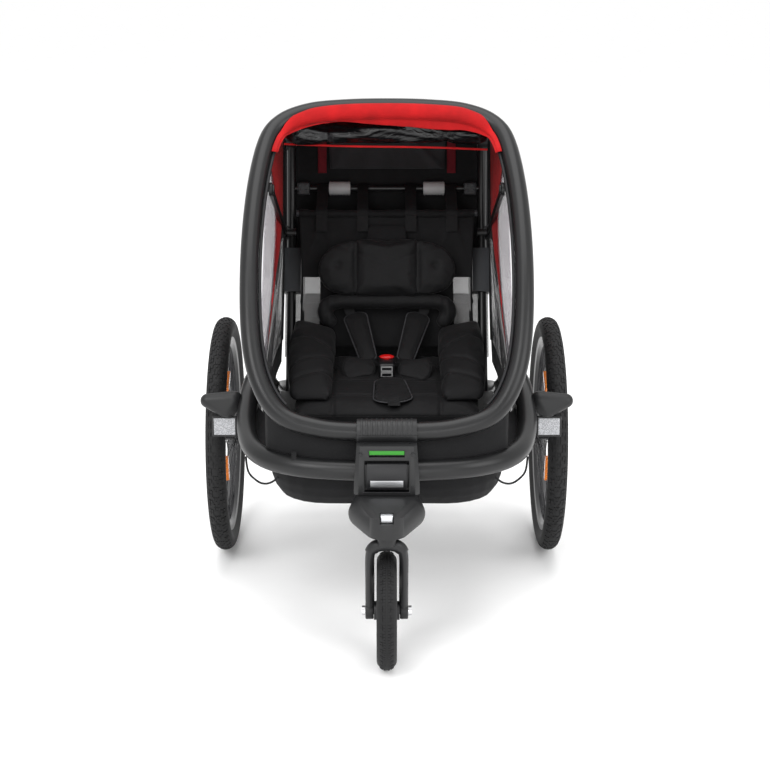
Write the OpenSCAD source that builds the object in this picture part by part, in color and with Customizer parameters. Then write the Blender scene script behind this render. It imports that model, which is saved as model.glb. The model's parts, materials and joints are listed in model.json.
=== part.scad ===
// Child bicycle trailer: a hooped fabric cabin on a tubular chassis, with two
// large sprung side wheels, a swivelling front wheel and a folding frame.
// Frame: +X is the object's left, -Y its front, +Z up. The shapes are laid out
// from the rear axle line (y = 0) and place() moves them to the row frame,
// whose origin is under the middle of the whole object on the floor.

/* [Overall] */
// Distance from the front wheel's axle to the rear axle line
wheelbase = 635; // [600:5:680]
// Distance from the rear axle line to the back of the handlebar
tail_l = 337.5; // [325:0.5:350]
// Distance between the middles of the two side wheels
track_w = 690; // [670:5:740]

/* [Side wheels] */
// Outer diameter of a side wheel
wheel_d = 500; // [480:5:520]
// Width of a side wheel's tyre
tyre_w = 42; // [36:1:48]
// Diameter of the rim under the tyre
rim_d = 406; // [390:1:420]
// Number of spokes in a side wheel
spoke_count = 28; // [20:4:36]
// Diameter of a spoke
spoke_d = 2.2; // [1.8:0.1:3]
// Diameter of a hub's flange
hub_d = 46; // [40:1:56]
// Diameter of the stub axle in a hub
stub_d = 12; // [10:1:14]

/* [Front wheel] */
// Outer diameter of the front wheel
front_wheel_d = 215; // [200:5:225]
// Width of the front wheel's tyre
front_tyre_w = 37; // [32:1:40]
// Diameter of the front wheel's axle
front_axle_d = 12; // [10:1:14]
// How far the front axle trails behind the steering axis
trail = 30; // [20:1:40]
// Thickness of a fork leg
fork_leg_t = 15; // [12:1:18]

/* [Hoop] */
// Diameter of the hoop tube
hoop_d = 35; // [30:1:38]
// Width of the hoop between tube centre lines
hoop_w = 512; // [490:2:530]
// Height of the hoop's lower crossbar above the floor
hoop_bottom_z = 416; // [412:1:420]
// Height of the top of the hoop's centre line
hoop_top_z = 956; // [930:2:970]
// Wall of the tubes
tube_wall = 2; // [1.5:0.1:3]

/* [Chassis] */
// Diameter of the lower chassis tube
chassis_d = 38; // [34:1:40]
// Width of the chassis between tube centre lines
chassis_w = 544; // [530:2:550]
// Diameter of the rear axle beam
beam_d = 36; // [32:1:40]
// Length of a suspension arm from its pivot to the stub axle
arm_l = 90; // [80:1:96]

/* [Connector] */
// Width of the clamp that carries the hoop
clamp_w = 108; // [100:1:112]
// Width of the connector housing at its foot
housing_w = 118; // [110:1:124]
// Width of the nose over the front fork
nose_w = 137; // [125:1:145]
// Travel of the release latch
latch_travel = 5; // [3:0.5:6]

/* [Rear frame] */
// Diameter of the rear struts
strut_d = 20; // [18:1:22]
// Half the distance between the struts
strut_x = 208; // [200:1:210]
// Diameter of the cross bar that carries the seat
bar_d = 14; // [12:1:16]
// Diameter of the handlebar tube
handle_d = 26; // [22:1:28]

/* [Cabin] */
// Width of the seat cushion
seat_w = 392; // [340:4:396]
// Thickness of the seat back
back_t = 12; // [8:1:16]
// Thickness of the fabric
cloth_t = 3; // [2:0.5:4]
// Width of the webbing straps
strap_w = 24; // [20:1:28]
// Thickness of the webbing straps
strap_t = 2; // [1.5:0.5:3]

/* [Hidden] */

$fn = 48;
axle_y = (front_wheel_d / 2 + wheelbase - tail_l) / 2; // row frame's Y of the rear axle line
run_fit = 0.05;   // radial clearance of a turning fit
seat_gap = 0.3;   // clearance of a fixed piece on its seat
soft_gap = 0.4;   // clearance of fabric and padding
wheel_x = track_w / 2;
wheel_r = wheel_d / 2;
rim_r = rim_d / 2;
front_r = front_wheel_d / 2;
hoop_r = hoop_d / 2;
chassis_r = chassis_d / 2;
strut_r = strut_d / 2;
handle_r = handle_d / 2;
steer_y = -wheelbase - trail;

// Hoop: its side profile leans back and bows forwards
hinge_y = -545;              // the hoop turns about its lower crossbar
hoop_lean = 450 / 564;       // run back per rise
hoop_bow = 50;
sleeve_r = hoop_r + 0.8;     // turning sleeve on the lower crossbar
sleeve_l = clamp_w + 4;
// Half outline from the lower crossbar to the top: share of half width, share of height
HOOP_OUTLINE = [[0.47, 0.01], [0.74, 0.05], [0.9, 0.15], [0.977, 0.3], [1, 0.52], [0.977, 0.73],
    [0.91, 0.885], [0.8, 0.95], [0.59, 0.985], [0.31, 0.997]];

// Folding linkage in the side view: [y, z]
LINK_REAR = [180, 655];      // link pivot on the strut
STRUT_FOOT = [20, 315];      // strut pivot on the chassis
STRUT_TOP = [215, 850];      // handlebar pivot
strut_bend = LINK_REAR;       // the struts bend where the links meet them
bar_at = STRUT_TOP + (strut_bend - STRUT_TOP) * 0.51; // seat bar on the struts
pin_r = 5;
link_t = 6;
open_pivot_gap = 4.1;        // play at the pivot where the linkage is left open
lug_z = 825;                 // height of the link lug on the hoop
lug_at = [hoop_point(0, lug_z)[1], lug_z];
LINK_FRONT = lug_at + [18, -14];
link_x = strut_x + 12;       // inner face of a link

beam_y = -arm_l * cos(24);
beam_z = wheel_r + arm_l * sin(24);
beam_r = beam_d / 2;
arm_x = wheel_x - 62;        // inner face of a suspension arm
arm_t = 18;
hub_in = 27;                 // reach of a hub towards the trailer, from the wheel plane
hub_out = 12;                // reach of a hub outwards

// ---------- helpers ----------
function unit(v) = v / norm(v);
function mirror_x(list) = [for (i = [len(list) - 1 : -1 : 0]) [-list[i][0], list[i][1], list[i][2]]];

// Points on a Catmull-Rom curve between b and c
function curve_at(a, b, c, d, t) = 0.5 * (2 * b + (c - a) * t + (2 * a - 5 * b + 4 * c - d) * t * t
    + (3 * b - a - 3 * c + d) * t * t * t);
function smooth_open(p, steps) = concat([for (i = [0 : len(p) - 2], s = [0 : steps - 1])
    curve_at(p[max(i - 1, 0)], p[i], p[i + 1], p[min(i + 2, len(p) - 1)], s / steps)], [p[len(p) - 1]]);
function smooth_closed(p, steps) = let (n = len(p)) [for (i = [0 : n - 1], s = [0 : steps - 1])
    curve_at(p[(i + n - 1) % n], p[i], p[(i + 1) % n], p[(i + 2) % n], s / steps)];

// One ring of a swept tube
function ring(p, t, up, r, sides) = let (u = unit(cross(up, t)), v = cross(t, u))
    [for (k = [0 : sides - 1]) p + r * (cos(360 * k / sides) * u + sin(360 * k / sides) * v)];

// A round tube along a path; up is a direction that the path never follows
module sweep(path, r, sides, up, closed = false) {
    n = len(path);
    rings = [for (i = [0 : n - 1]) let (a = closed ? path[(i + n - 1) % n] : path[max(i - 1, 0)],
        b = closed ? path[(i + 1) % n] : path[min(i + 1, n - 1)]) ring(path[i], unit(b - a), up, r, sides)];
    last = closed ? n - 1 : n - 2;
    sides_f = [for (i = [0 : last], k = [0 : sides - 1]) let (j = (i + 1) % n, m = (k + 1) % sides)
        each [[i * sides + k, j * sides + k, j * sides + m], [i * sides + k, j * sides + m, i * sides + m]]];
    caps = closed ? [] : [[for (k = [0 : sides - 1]) k], [for (k = [sides - 1 : -1 : 0]) (n - 1) * sides + k]];
    polyhedron([for (q = rings) each q], concat(sides_f, caps));
}

// A solid through stacked rings of points that all have the same count
module loft(rings) {
    n = len(rings[0]);
    m = len(rings);
    walls = [for (i = [0 : m - 2], k = [0 : n - 1]) let (q = (k + 1) % n)
        each [[i * n + k, (i + 1) * n + q, (i + 1) * n + k], [i * n + k, i * n + q, (i + 1) * n + q]]];
    floor_f = [[for (k = [0 : n - 1]) k]];
    top_f = [[for (k = [n - 1 : -1 : 0]) (m - 1) * n + k]];
    polyhedron([for (q = rings) each q], concat(walls, floor_f, top_f));
}

module place() { translate([0, axle_y, 0]) children(); }
module both_sides() { children(); mirror([1, 0, 0]) children(); }
module rod_x(y, z, x0, x1, r) { translate([x0, y, z]) rotate([0, 90, 0]) cylinder(r = r, h = x1 - x0); }
module rod_z(x, y, z0, z1, r) { translate([x, y, z0]) cylinder(r = r, h = z1 - z0); }
// A plate across X from an outline in the side view
module side_plate(x0, x1, outline) {
    translate([x0, 0, 0]) rotate([90, 0, 90]) linear_extrude(height = x1 - x0) polygon(outline);
}
// A box given by its two corners
module span(a, b) { translate(a) cube(b - a); }
// A rounded pad between two corners
module pad(a, b, r) {
    hull() for (x = [a[0] + r, b[0] - r], y = [a[1] + r, b[1] - r], z = [a[2] + r, b[2] - r])
        translate([x, y, z]) sphere(r = r, $fn = 16);
}
// A flat strap between two points of the side view, centred on x
module strap(x, a, b, w = strap_w, t = strap_t) {
    d = b - a;
    translate([x - w / 2, a[0], a[1]]) rotate([atan2(d[1], d[0]), 0, 0]) translate([0, 0, -t / 2])
        cube([w, norm(d), t]);
}

// ---------- paths ----------
function hoop_point(x, z) = let (t = (z - hoop_bottom_z) / 564)
    [x, hinge_y + t * 564 * hoop_lean - hoop_bow * 4 * t * (1 - t), z];
hoop_rise = hoop_top_z - hoop_bottom_z;
hoop_half = concat([[sleeve_l / 2 - 6, hinge_y, hoop_bottom_z]],
    [for (p = HOOP_OUTLINE) hoop_point(p[0] * hoop_w / 2, hoop_bottom_z + p[1] * hoop_rise)]);
hoop_path = smooth_open(concat(hoop_half, [hoop_point(0, hoop_top_z)], mirror_x(hoop_half)), 3);
hoop_up = unit([0, -1, hoop_lean]);
hoop_mid = hoop_point(0, hoop_bottom_z + hoop_rise / 2);

chassis_x = chassis_w / 2;
rail_z = 405;
cross_z = 300;
chassis_y = -560;
chassis_z = 348;
chassis_back = 215;
chassis_half = [[63, chassis_y, chassis_z], [168, chassis_y + 20, chassis_z + 2],
    [chassis_x - 34, -480, chassis_z + 6], [chassis_x - 5, -380, 370], [chassis_x, -230, rail_z],
    [chassis_x - 4, -110, rail_z], [chassis_x - 16, 0, 368], [chassis_x - 26, 100, 318],
    [chassis_x - 42, 185, cross_z], [chassis_x - 120, chassis_back, cross_z]];
chassis_path = smooth_closed(concat(chassis_half, mirror_x(chassis_half)), 3);

// ---------- chassis ----------
module chassis_tube() {
    color("dimgray") place() difference() {
        sweep(chassis_path, chassis_r, 16, [0, 0, 1], closed = true);
        sweep(chassis_path, chassis_r - tube_wall, 8, [0, 0, 1], closed = true);
    }
}

bracket_x0 = arm_x - 22;
module axle_beam() {
    color("dimgray") place() {
        difference() {
            union() {
                rod_x(beam_y, beam_z, -bracket_x0 - 8, bracket_x0 + 8, beam_r);
                both_sides() side_plate(bracket_x0, bracket_x0 + 8, [[beam_y - 24, beam_z - 22],
                    [STRUT_FOOT[0] + 24, beam_z - 22], [STRUT_FOOT[0] + 24, 336], [-8, 362], [-42, 384],
                    [beam_y - 24, rail_z - 9]]);
                both_sides() side_plate(strut_x + strut_r + 4, strut_x + strut_r + 9,
                    [[beam_y, beam_z - 8], [STRUT_FOOT[0] + 16, beam_z - 2], [STRUT_FOOT[0] + 16, STRUT_FOOT[1] + 16],
                    [STRUT_FOOT[0] - 18, STRUT_FOOT[1] + 16]]);
                both_sides() rod_x(STRUT_FOOT[0], STRUT_FOOT[1], strut_x - 14, bracket_x0 + 4, pin_r + 1);
            }
            both_sides() rod_x(beam_y, beam_z, arm_x - 40, arm_x + 10, 10 + run_fit);
            both_sides() sweep([for (i = [13 : 24]) chassis_path[i]], chassis_r + seat_gap, 16, [0, 0, 1]);
        }
    }
}

stub_out = hub_out + 1.5;    // end of the stub axle, from the wheel plane
stem_r = 3;
module arm() {
    difference() {
        union() {
            rod_x(beam_y, beam_z, arm_x - 38, arm_x + arm_t, 10);
            rod_x(beam_y, beam_z, arm_x, arm_x + arm_t, 24);
            rod_x(0, wheel_r, arm_x, arm_x + arm_t, 20);
            side_plate(arm_x, arm_x + arm_t, [[beam_y - 8, beam_z - 21], [beam_y + 10, beam_z + 21],
                [8, wheel_r + 17], [-8, wheel_r - 17]]);
            rod_x(0, wheel_r, arm_x + arm_t - 4, wheel_x + stub_out, stub_d / 2);
        }
        rod_x(0, wheel_r, wheel_x - 20, wheel_x + stub_out + 1, stem_r + run_fit);
    }
}
module left_arm() { color("gray") place() arm(); }
module right_arm() { color("gray") place() mirror([1, 0, 0]) arm(); }

// Connector between the hoop, the chassis tube and the nose
housing_front = -596;
housing_back = -534;
housing_z0 = 312;
split_z = hoop_bottom_z;
clamp_r = sleeve_r + 5;
recess_x = 40;
recess_z0 = 318;
recess_z1 = 376;
slot_z0 = 382;
slot_z1 = 394;
module connector_housing() {
    color("dimgray") place() difference() {
        union() {
            hull() {
                span([-clamp_w / 2, housing_front + 12, 396], [clamp_w / 2, housing_front + 16, 402]);
                span([-clamp_w / 2 + 6, housing_front + 6, 396], [clamp_w / 2 - 6, housing_front + 16, 402]);
                span([-housing_w / 2, housing_front + 8, housing_z0], [housing_w / 2, housing_back, 330]);
                span([-housing_w / 2 + 8, housing_front, housing_z0], [housing_w / 2 - 8, housing_back, 330]);
                span([-clamp_w / 2, hinge_y - clamp_r, 396], [clamp_w / 2, housing_back, 402]);
            }
            intersection() {
                rod_x(hinge_y, hoop_bottom_z, -clamp_w / 2, clamp_w / 2, clamp_r);
                span([-100, -620, 380], [100, -500, split_z - 0.2]);
            }
        }
        rod_x(hinge_y, hoop_bottom_z, -100, 100, sleeve_r + run_fit);
        sweep([for (i = [-6 : 5]) chassis_path[(i + len(chassis_path)) % len(chassis_path)]],
            chassis_r + seat_gap, 16, [0, 0, 1]);
        span([-recess_x, -620, recess_z0], [recess_x, housing_front + 14, recess_z1]);
        span([-32, -620, slot_z0], [32, housing_front + 14, slot_z1]);
        for (x = [-clamp_w / 2 + 14, clamp_w / 2 - 14], y = [hinge_y - clamp_r + 0.5])
            rod_z(x, y - 3, 398, split_z + 1, 2.5);
    }
}

module clamp_cap() {
    color("dimgray") place() difference() {
        union() {
            intersection() {
                rod_x(hinge_y, hoop_bottom_z, -clamp_w / 2, clamp_w / 2, clamp_r);
                span([-100, -600, split_z], [100, -500, 460]);
            }
            for (i = [-5 : 5]) rod_x(hinge_y, hoop_bottom_z, i * 9 - 1.5, i * 9 + 1.5, clamp_r + 1);
        }
        span([-100, -600, 380], [100, -500, split_z]);
        rod_x(hinge_y, hoop_bottom_z, -100, 100, sleeve_r + run_fit);
    }
}

module clamp_bolts() {
    color("silver") place() for (x = [-34, 34])
        translate([x, housing_back + 0.2, 372]) rotate([-90, 0, 0]) cylinder(r = 5, h = 4);
}

pad_w = 71;
pad_h = recess_z1 - recess_z0 - 10;
bulge_r = 60;
module latch_bulge(shrink) {
    translate([0, housing_front - 7 + bulge_r, (recess_z0 + recess_z1) / 2]) rotate([0, 90, 0])
        cylinder(r = bulge_r - shrink, h = pad_w + 2, center = true, $fn = 180);
}
module latch_button() {
    color("gray") place() {
        difference() {
            intersection() {
                span([-pad_w / 2, housing_front - 8, recess_z0 + 5], [pad_w / 2, housing_front + 8, recess_z0 + 5 + pad_h]);
                latch_bulge(0);
            }
            span([-30, housing_front - 20, recess_z0 + 10], [30, housing_front - 3, recess_z0 + 24]);
        }
        span([-recess_x + 0.4, housing_front + 5, recess_z0 + 8], [recess_x - 0.4, housing_front + 8.4, recess_z1 - 8]);
    }
}
module latch_inlay() {
    color("silver") place() intersection() {
        span([-29.4, housing_front - 20, recess_z0 + 10.6], [29.4, housing_front - 3.2, recess_z0 + 23.4]);
        latch_bulge(0.5);
    }
}
module lock_indicator() {
    color("limegreen") place()
        span([-31.5, housing_front + 6, slot_z1 - 8.3], [31.5, housing_front + 13.7, slot_z1 - 0.3]);
}

nose_z0 = 263;
nose_z1 = housing_z0 - 0.3;
steer_r = 8;
module nose_housing() {
    color("dimgray") place() difference() {
        union() {
            hull() {
                for (x = [-nose_w / 2 + 27, nose_w / 2 - 27])
                    translate([x, -622, nose_z0 + 25]) sphere(r = 27, $fn = 32);
                translate([0, steer_y, nose_z0 + 2]) cylinder(r = 36, h = 38, $fn = 32);
                span([-housing_w / 2 + 6, -590, nose_z1 - 20], [housing_w / 2 - 6, -560, nose_z1]);
            }
        }
        span([-100, -720, 200], [100, -500, nose_z0]);
        span([-100, housing_front - 14, nose_z1], [100, -500, 400]);
        rod_z(0, steer_y, 240, nose_z0 + 34, steer_r + run_fit);
        span([-12, steer_y - 40, nose_z0 + 30], [12, steer_y - 8, 340]);
    }
}
module swivel_tab() {
    color("silver") place()
        span([-11, steer_y - 26, nose_z0 + 30.3], [11, steer_y - 14, nose_z0 + 44]);
}

// ---------- front wheel and fork ----------
crown_z0 = front_wheel_d + 7;
fork_in = front_tyre_w / 2 + 5;
module front_fork() {
    color("dimgray") place() difference() {
        union() {
            both_sides() side_plate(fork_in, fork_in + fork_leg_t, [[steer_y - 17, crown_z0 + 32],
                [steer_y + 24, crown_z0 + 32], [-wheelbase + 16, front_r], [-wheelbase + 9, front_r - 13],
                [-wheelbase - 9, front_r - 13], [-wheelbase - 16, front_r]]);
            side_plate(-fork_in - 1, fork_in + 1, [[steer_y - 17, crown_z0], [steer_y + 24, crown_z0],
                [steer_y + 24, crown_z0 + 32], [steer_y - 17, crown_z0 + 32]]);
            rod_z(0, steer_y, crown_z0 + 30, nose_z0 - 0.3, 16.5);
            rod_z(0, steer_y, nose_z0 - 1, nose_z0 + 33, steer_r);
        }
        rod_x(-wheelbase, front_r, -100, 100, front_axle_d / 2 + run_fit);
    }
}
module front_axle() {
    color("silver") place() {
        rod_x(-wheelbase, front_r, -fork_in - fork_leg_t - 1, fork_in + fork_leg_t + 1, front_axle_d / 2);
        both_sides() rod_x(-wheelbase, front_r, fork_in + fork_leg_t + 0.3, fork_in + fork_leg_t + 6, 9);
    }
}

front_seat_d = front_wheel_d - 64;
module front_tyre() {
    color("#3a3a3c") place() translate([0, -wheelbase, front_r]) rotate([0, 90, 0]) rotate_extrude($fn = 72)
        difference() {
            translate([front_r - front_tyre_w / 2, 0]) circle(r = front_tyre_w / 2, $fn = 32);
            translate([0, -30]) square([front_seat_d / 2 + 2, 60]);
        }
}
module front_rim() {
    color("#2c2c2e") place() translate([0, -wheelbase, front_r]) rotate([0, 90, 0]) difference() {
        union() {
            difference() {
                cylinder(r = front_seat_d / 2 + 1.7, h = 26, center = true);
                cylinder(r = front_seat_d / 2 - 6, h = 27, center = true);
            }
            cylinder(r = 17, h = 2 * fork_in - 1, center = true);
            for (i = [0 : 4]) rotate([0, 0, i * 72 + 18]) translate([10, -7, -6]) cube([front_seat_d / 2 - 13, 14, 12]);
        }
        cylinder(r = front_axle_d / 2 + run_fit, h = 60, center = true);
    }
}

// ---------- side wheels ----------
module at_wheel(side) { place() translate([side * wheel_x, 0, wheel_r]) mirror([side < 0 ? 1 : 0, 0, 0]) children(); }

bead_x = 12.5;                // half width of a tyre at its rim
module side_tyre() {
    color("#1f1f20") rotate([0, 90, 0]) rotate_extrude($fn = 120) difference() {
        union() {
            translate([wheel_r - tyre_w / 2, 0]) circle(r = tyre_w / 2, $fn = 32);
            translate([rim_r, -bead_x]) square([wheel_r - tyre_w / 2 - rim_r, 2 * bead_x]);
        }
        translate([0, -30]) square([rim_r + 5, 60]);
    }
}
module side_rim() {
    color("#17171a") rotate([0, 90, 0]) rotate_extrude($fn = 120)
        polygon([[rim_r - 14, -6], [rim_r - 14, 6], [rim_r - 6, 12], [rim_r + 4.6, 13.5], [rim_r + 4.6, 10.5],
            [rim_r - 3, 9], [rim_r - 3, -9], [rim_r + 4.6, -10.5], [rim_r + 4.6, -13.5], [rim_r - 6, -12]]);
}
flange_t = 4;
FLANGES = [[-23, -19], [5, 9]]; // inner and outer hub flange, from the wheel plane
spoke_lean = 38;
spoke_in = 0.1 + spoke_d / 2;   // spokes lie on both sides of each flange
spoke_out = 0.8 + spoke_d / 2;
foot_r = hub_d / 2 - 4;        // radius of a spoke's two ends
tip_r = rim_r - 14.3;
function spoke_side(i) = i % 2 == 0 ? 1 : -1;
function spoke_turn(i) = i % 4 < 2 ? spoke_lean : -spoke_lean;
function spoke_angle(i) = i * 360 / spoke_count;
function spoke_foot_x(i) = let (f = FLANGES[i % 2 == 0 ? 1 : 0])
    spoke_side(i) > 0 ? (spoke_turn(i) > 0 ? f[0] - spoke_in : f[1] + spoke_out)
    : (spoke_turn(i) > 0 ? f[1] + spoke_in : f[0] - spoke_out);
function spoke_foot(i) = let (a = spoke_angle(i) + spoke_turn(i))
    [spoke_foot_x(i), foot_r * cos(a), foot_r * sin(a)];
function spoke_tip(i) = let (a = spoke_angle(i)) [spoke_side(i) * 3, tip_r * cos(a), tip_r * sin(a)];
module side_spokes() {
    color("silver") for (i = [0 : spoke_count - 1]) {
        d = spoke_tip(i) - spoke_foot(i);
        translate(spoke_foot(i)) rotate([0, acos(d[2] / norm(d)), atan2(d[1], d[0])])
            cylinder(r = spoke_d / 2, h = norm(d), $fn = 16);
    }
}
module side_hub() {
    color("dimgray") rotate([0, 90, 0]) difference() {
        union() {
            translate([0, 0, -hub_in]) cylinder(r = 15, h = hub_in + hub_out);
            for (f = FLANGES) translate([0, 0, f[0]]) cylinder(r = hub_d / 2, h = flange_t);
        }
        translate([0, 0, -hub_in - 1]) cylinder(r = stub_d / 2 + run_fit, h = hub_in + hub_out + 2);
    }
}
REFLECTOR_SPOKES = [9, 15];   // inner spokes that carry the reflectors
reflector_r = rim_r - 56;
reflector_t = 7;
module side_spoke_reflectors() {
    share = (reflector_r - foot_r) / (tip_r - foot_r);
    color("orange") for (i = REFLECTOR_SPOKES) {
        at_x = spoke_foot(i)[0] + (spoke_tip(i)[0] - spoke_foot(i)[0]) * share;
        rotate([spoke_angle(i) - 90, 0, 0])
            translate([at_x - spoke_d / 2 - 1.2 - reflector_t, -27, reflector_r - 6]) cube([reflector_t, 54, 12]);
    }
}
press_gap = 2.3;              // room for the release button's travel
module release_button() {
    color("dimgray") rotate([0, 90, 0]) {
        translate([0, 0, -10]) cylinder(r = stem_r, h = stub_out + press_gap + 10.5);
        translate([0, 0, stub_out + press_gap]) cylinder(r = 9, h = 3);
    }
}
module left_tyre() { at_wheel(1) side_tyre(); }
module left_rim() { at_wheel(1) side_rim(); }
module left_spokes() { at_wheel(1) side_spokes(); }
module left_hub() { at_wheel(1) side_hub(); }
module left_spoke_reflectors() { at_wheel(1) side_spoke_reflectors(); }
module left_release_button() { at_wheel(1) release_button(); }
module right_tyre() { at_wheel(-1) side_tyre(); }
module right_rim() { at_wheel(-1) side_rim(); }
module right_spokes() { at_wheel(-1) side_spokes(); }
module right_hub() { at_wheel(-1) side_hub(); }
module right_spoke_reflectors() { at_wheel(-1) side_spoke_reflectors(); }
module right_release_button() { at_wheel(-1) release_button(); }

// ---------- wheel guards and towing socket ----------
guard_y = -272;
module wheel_guards() {
    color("dimgray") place() both_sides() hull() {
        translate([chassis_x + chassis_r + 17.5, guard_y, 395]) sphere(r = 17, $fn = 24);
        translate([wheel_x + 8, guard_y, 398]) sphere(r = 14, $fn = 24);
        translate([wheel_x - 25, guard_y - 4, 384]) sphere(r = 15, $fn = 24);
    }
}
module guard_reflectors() {
    color("whitesmoke") place() both_sides() {
        span([295, guard_y - 8, 325], [345, guard_y - 2, 368.6]);
    }
}

tow_x = 246;
tow_z = beam_z;
tow_bore_r = 9;
tow_front = -190;
tow_bore_l = 72;
module tow_socket() {
    color("dimgray") place() difference() {
        translate([tow_x, tow_front, tow_z]) rotate([-90, 0, 0])
            cylinder(r = 14, h = beam_y - beam_r - 0.3 - tow_front);
        translate([tow_x, tow_front - 1, tow_z]) rotate([-90, 0, 0]) cylinder(r = tow_bore_r, h = tow_bore_l + 1);
    }
}

// ---------- tub, floor and bags ----------
corner_steps = 5;
// A rounded rectangle ring in plan, whose height rises with y by slope
function plan_ring(hx, y0, y1, rf, rb, z, slope = 0) = [for (c = [[1, 1, rb, 0], [-1, 1, rb, 90],
    [-1, -1, rf, 180], [1, -1, rf, 270]], k = [0 : corner_steps]) let (a = c[3] + 90 * k / corner_steps,
    x = c[0] * (hx - c[2]) + c[2] * cos(a), y = (c[1] > 0 ? y1 - c[2] : y0 + c[2]) + c[2] * sin(a))
    [x, y, z + slope * (y - y0)]];

tub_front = housing_back + soft_gap;
tub_back = -263;
tub_slope = 0.13;
side_x = 226;                 // inner face of the fabric sides under the seat
pan_z = 337;                  // underside of the seat pan
pan_back = STRUT_FOOT[0] - 4;
side_top = 402;               // top of the fabric sides
sleeve_from = 12;             // stretch of the chassis path that the fabric sleeves wrap
sleeve_to = 15;
rail_part = [for (i = [sleeve_from : sleeve_to]) chassis_path[i]];
module tub_shell(d, z0, lift) {
    loft([plan_ring(200 - d, tub_front + 34 + d, tub_back - d, 90 - d, 20 - d, z0),
        plan_ring(222 - d, tub_front + 6 + d, tub_back - d, 130 - d, 20 - d, 300 + lift / 8, 0.06),
        plan_ring(side_x - d, tub_front + d, tub_back - d, 150 - d, 20 - d, 328 + lift, tub_slope)]);
}
module fabric_tub() {
    color("#18181a") place() {
        difference() {
            union() {
                tub_shell(0, 262, 0);
                span([-side_x - cloth_t, tub_back - 10, pan_z], [side_x + cloth_t, pan_back, pan_z + cloth_t]);
                both_sides() span([side_x, tub_back - 10, pan_z], [side_x + cloth_t, pan_back, side_top]);
                both_sides() span([side_x, -215, side_top - cloth_t], [chassis_x - chassis_r - 4, -125, side_top]);
            }
            tub_shell(cloth_t, 262 + cloth_t, 12);
        }
        both_sides() difference() {
            sweep(rail_part, chassis_r + soft_gap + cloth_t, 16, [0, 0, 1]);
            sweep(chassis_path, chassis_r + soft_gap, 16, [0, 0, 1], closed = true);
        }
    }
}
module floor_board() {
    color("#202022") place() translate([0, 0, 262 + cloth_t + soft_gap]) linear_extrude(height = 4)
        polygon([for (p = plan_ring(190, -488, tub_back - cloth_t - 2, 80, 14, 0)) [p[0], p[1]]]);
}
module luggage_bag() {
    color("#18181a") place() difference() {
        span([-186, 78, 330], [186, 178, 520]);
        span([-186 + cloth_t, 78 + cloth_t, 330 + cloth_t], [186 - cloth_t, 178 - cloth_t, 530]);
    }
}

// ---------- seat and harness ----------
seat_x = seat_w / 2;
seat_end = 37;
back_foot = [45, 430];
back_top = [125, 702];
module seat_cushion() {
    color("#1c1c1e") place() side_plate(-seat_x, seat_x, [[-256, 350], [-258, 364], [-246, 374],
        [seat_end, 424], [seat_end, 400], [30, pan_z + cloth_t + soft_gap],
        [-236, pan_z + cloth_t + soft_gap]]);
}
module seat_back() {
    color("#1c1c1e") place() {
        strap(0, back_foot, back_top, 2 * seat_x - 10, back_t);
        rod_x(back_top[0], back_top[1] + 5, -191, 191, 7);
    }
}
bolster_x = 104;               // inner face of a side bolster
module seat_bolsters() {
    color("#161618") place() both_sides()
        side_plate(bolster_x, seat_x + 6, [[-236, 376.3], [20, 421.6], [30, 444], [46, 485],
            [30, 503], [-40, 498], [-150, 440]]);
}
hem = [back_top[0], back_top[1] + 5];
hang = unit(bar_at - hem);
module hanging_straps() {
    color("#1a1a1c") place() for (x = [-140, -52, 52, 140])
        strap(x, hem + hang * (7 + soft_gap), bar_at - hang * (bar_d / 2 + soft_gap));
}
// Frame of the seat back: z runs up its face, y points back, and y = 0 is the face
module on_back() {
    d = back_top - back_foot;
    translate([0, back_foot[0], back_foot[1]]) rotate([atan2(d[1], d[0]) - 90, 0, 0])
        translate([0, -back_t / 2 - soft_gap, 0]) children();
}
// Frame of the seat: y runs back along the cushion's top, z = 0 is just over it
module on_seat() {
    translate([0, -246, 374]) rotate([atan2(50, 283), 0, 0]) translate([0, 0, soft_gap]) children();
}
lobe_x = 66;                   // seams of the head pillow, from the middle
lobe_end = 146;
module head_pillow() {
    color("#1a1a1c") place() on_back() {
        pad([-lobe_end, -52, 122], [-lobe_x - 0.3, 0, 226], 22);
        pad([-lobe_x, -54, 118], [lobe_x, 0, 244], 22);
        pad([lobe_x + 0.3, -52, 122], [lobe_end, 0, 226], 22);
    }
}
module neck_roll() {
    color("#1a1a1c") place() on_back() rod_x(-17, 96, -138, 138, 17);
}
module shoulder_straps() {
    color("#1a1a1c") place() both_sides() hull() {
        on_back() for (x = [62, 88]) translate([x, -9, 62]) sphere(r = 9, $fn = 20);
        on_seat() for (x = [28, 48]) translate([x, 205, 10]) sphere(r = 9, $fn = 20);
    }
}
module waist_straps() {
    color("#1a1a1c") place() both_sides() on_seat() hull()
        for (p = [[26, 150, 8], [28, 184, 8], [94, 146, 8], [94, 184, 8]]) translate(p) sphere(r = 8, $fn = 20);
}
module crotch_strap() {
    color("#1a1a1c") place() on_seat() hull()
        for (p = [[-28, 128], [28, 128], [-34, 18], [34, 18]]) translate([p[0], p[1], 7]) sphere(r = 7, $fn = 20);
}
module buckle() {
    color("#202022") place() on_seat() difference() {
        pad([-17, 138, 0], [17, 192, 34], 6);
        translate([0, 172, 10]) cylinder(r = 9.3, h = 40);
    }
}
module buckle_button() {
    color("red") place() on_seat() translate([0, 172, 16]) cylinder(r = 9, h = 20);
}

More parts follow.
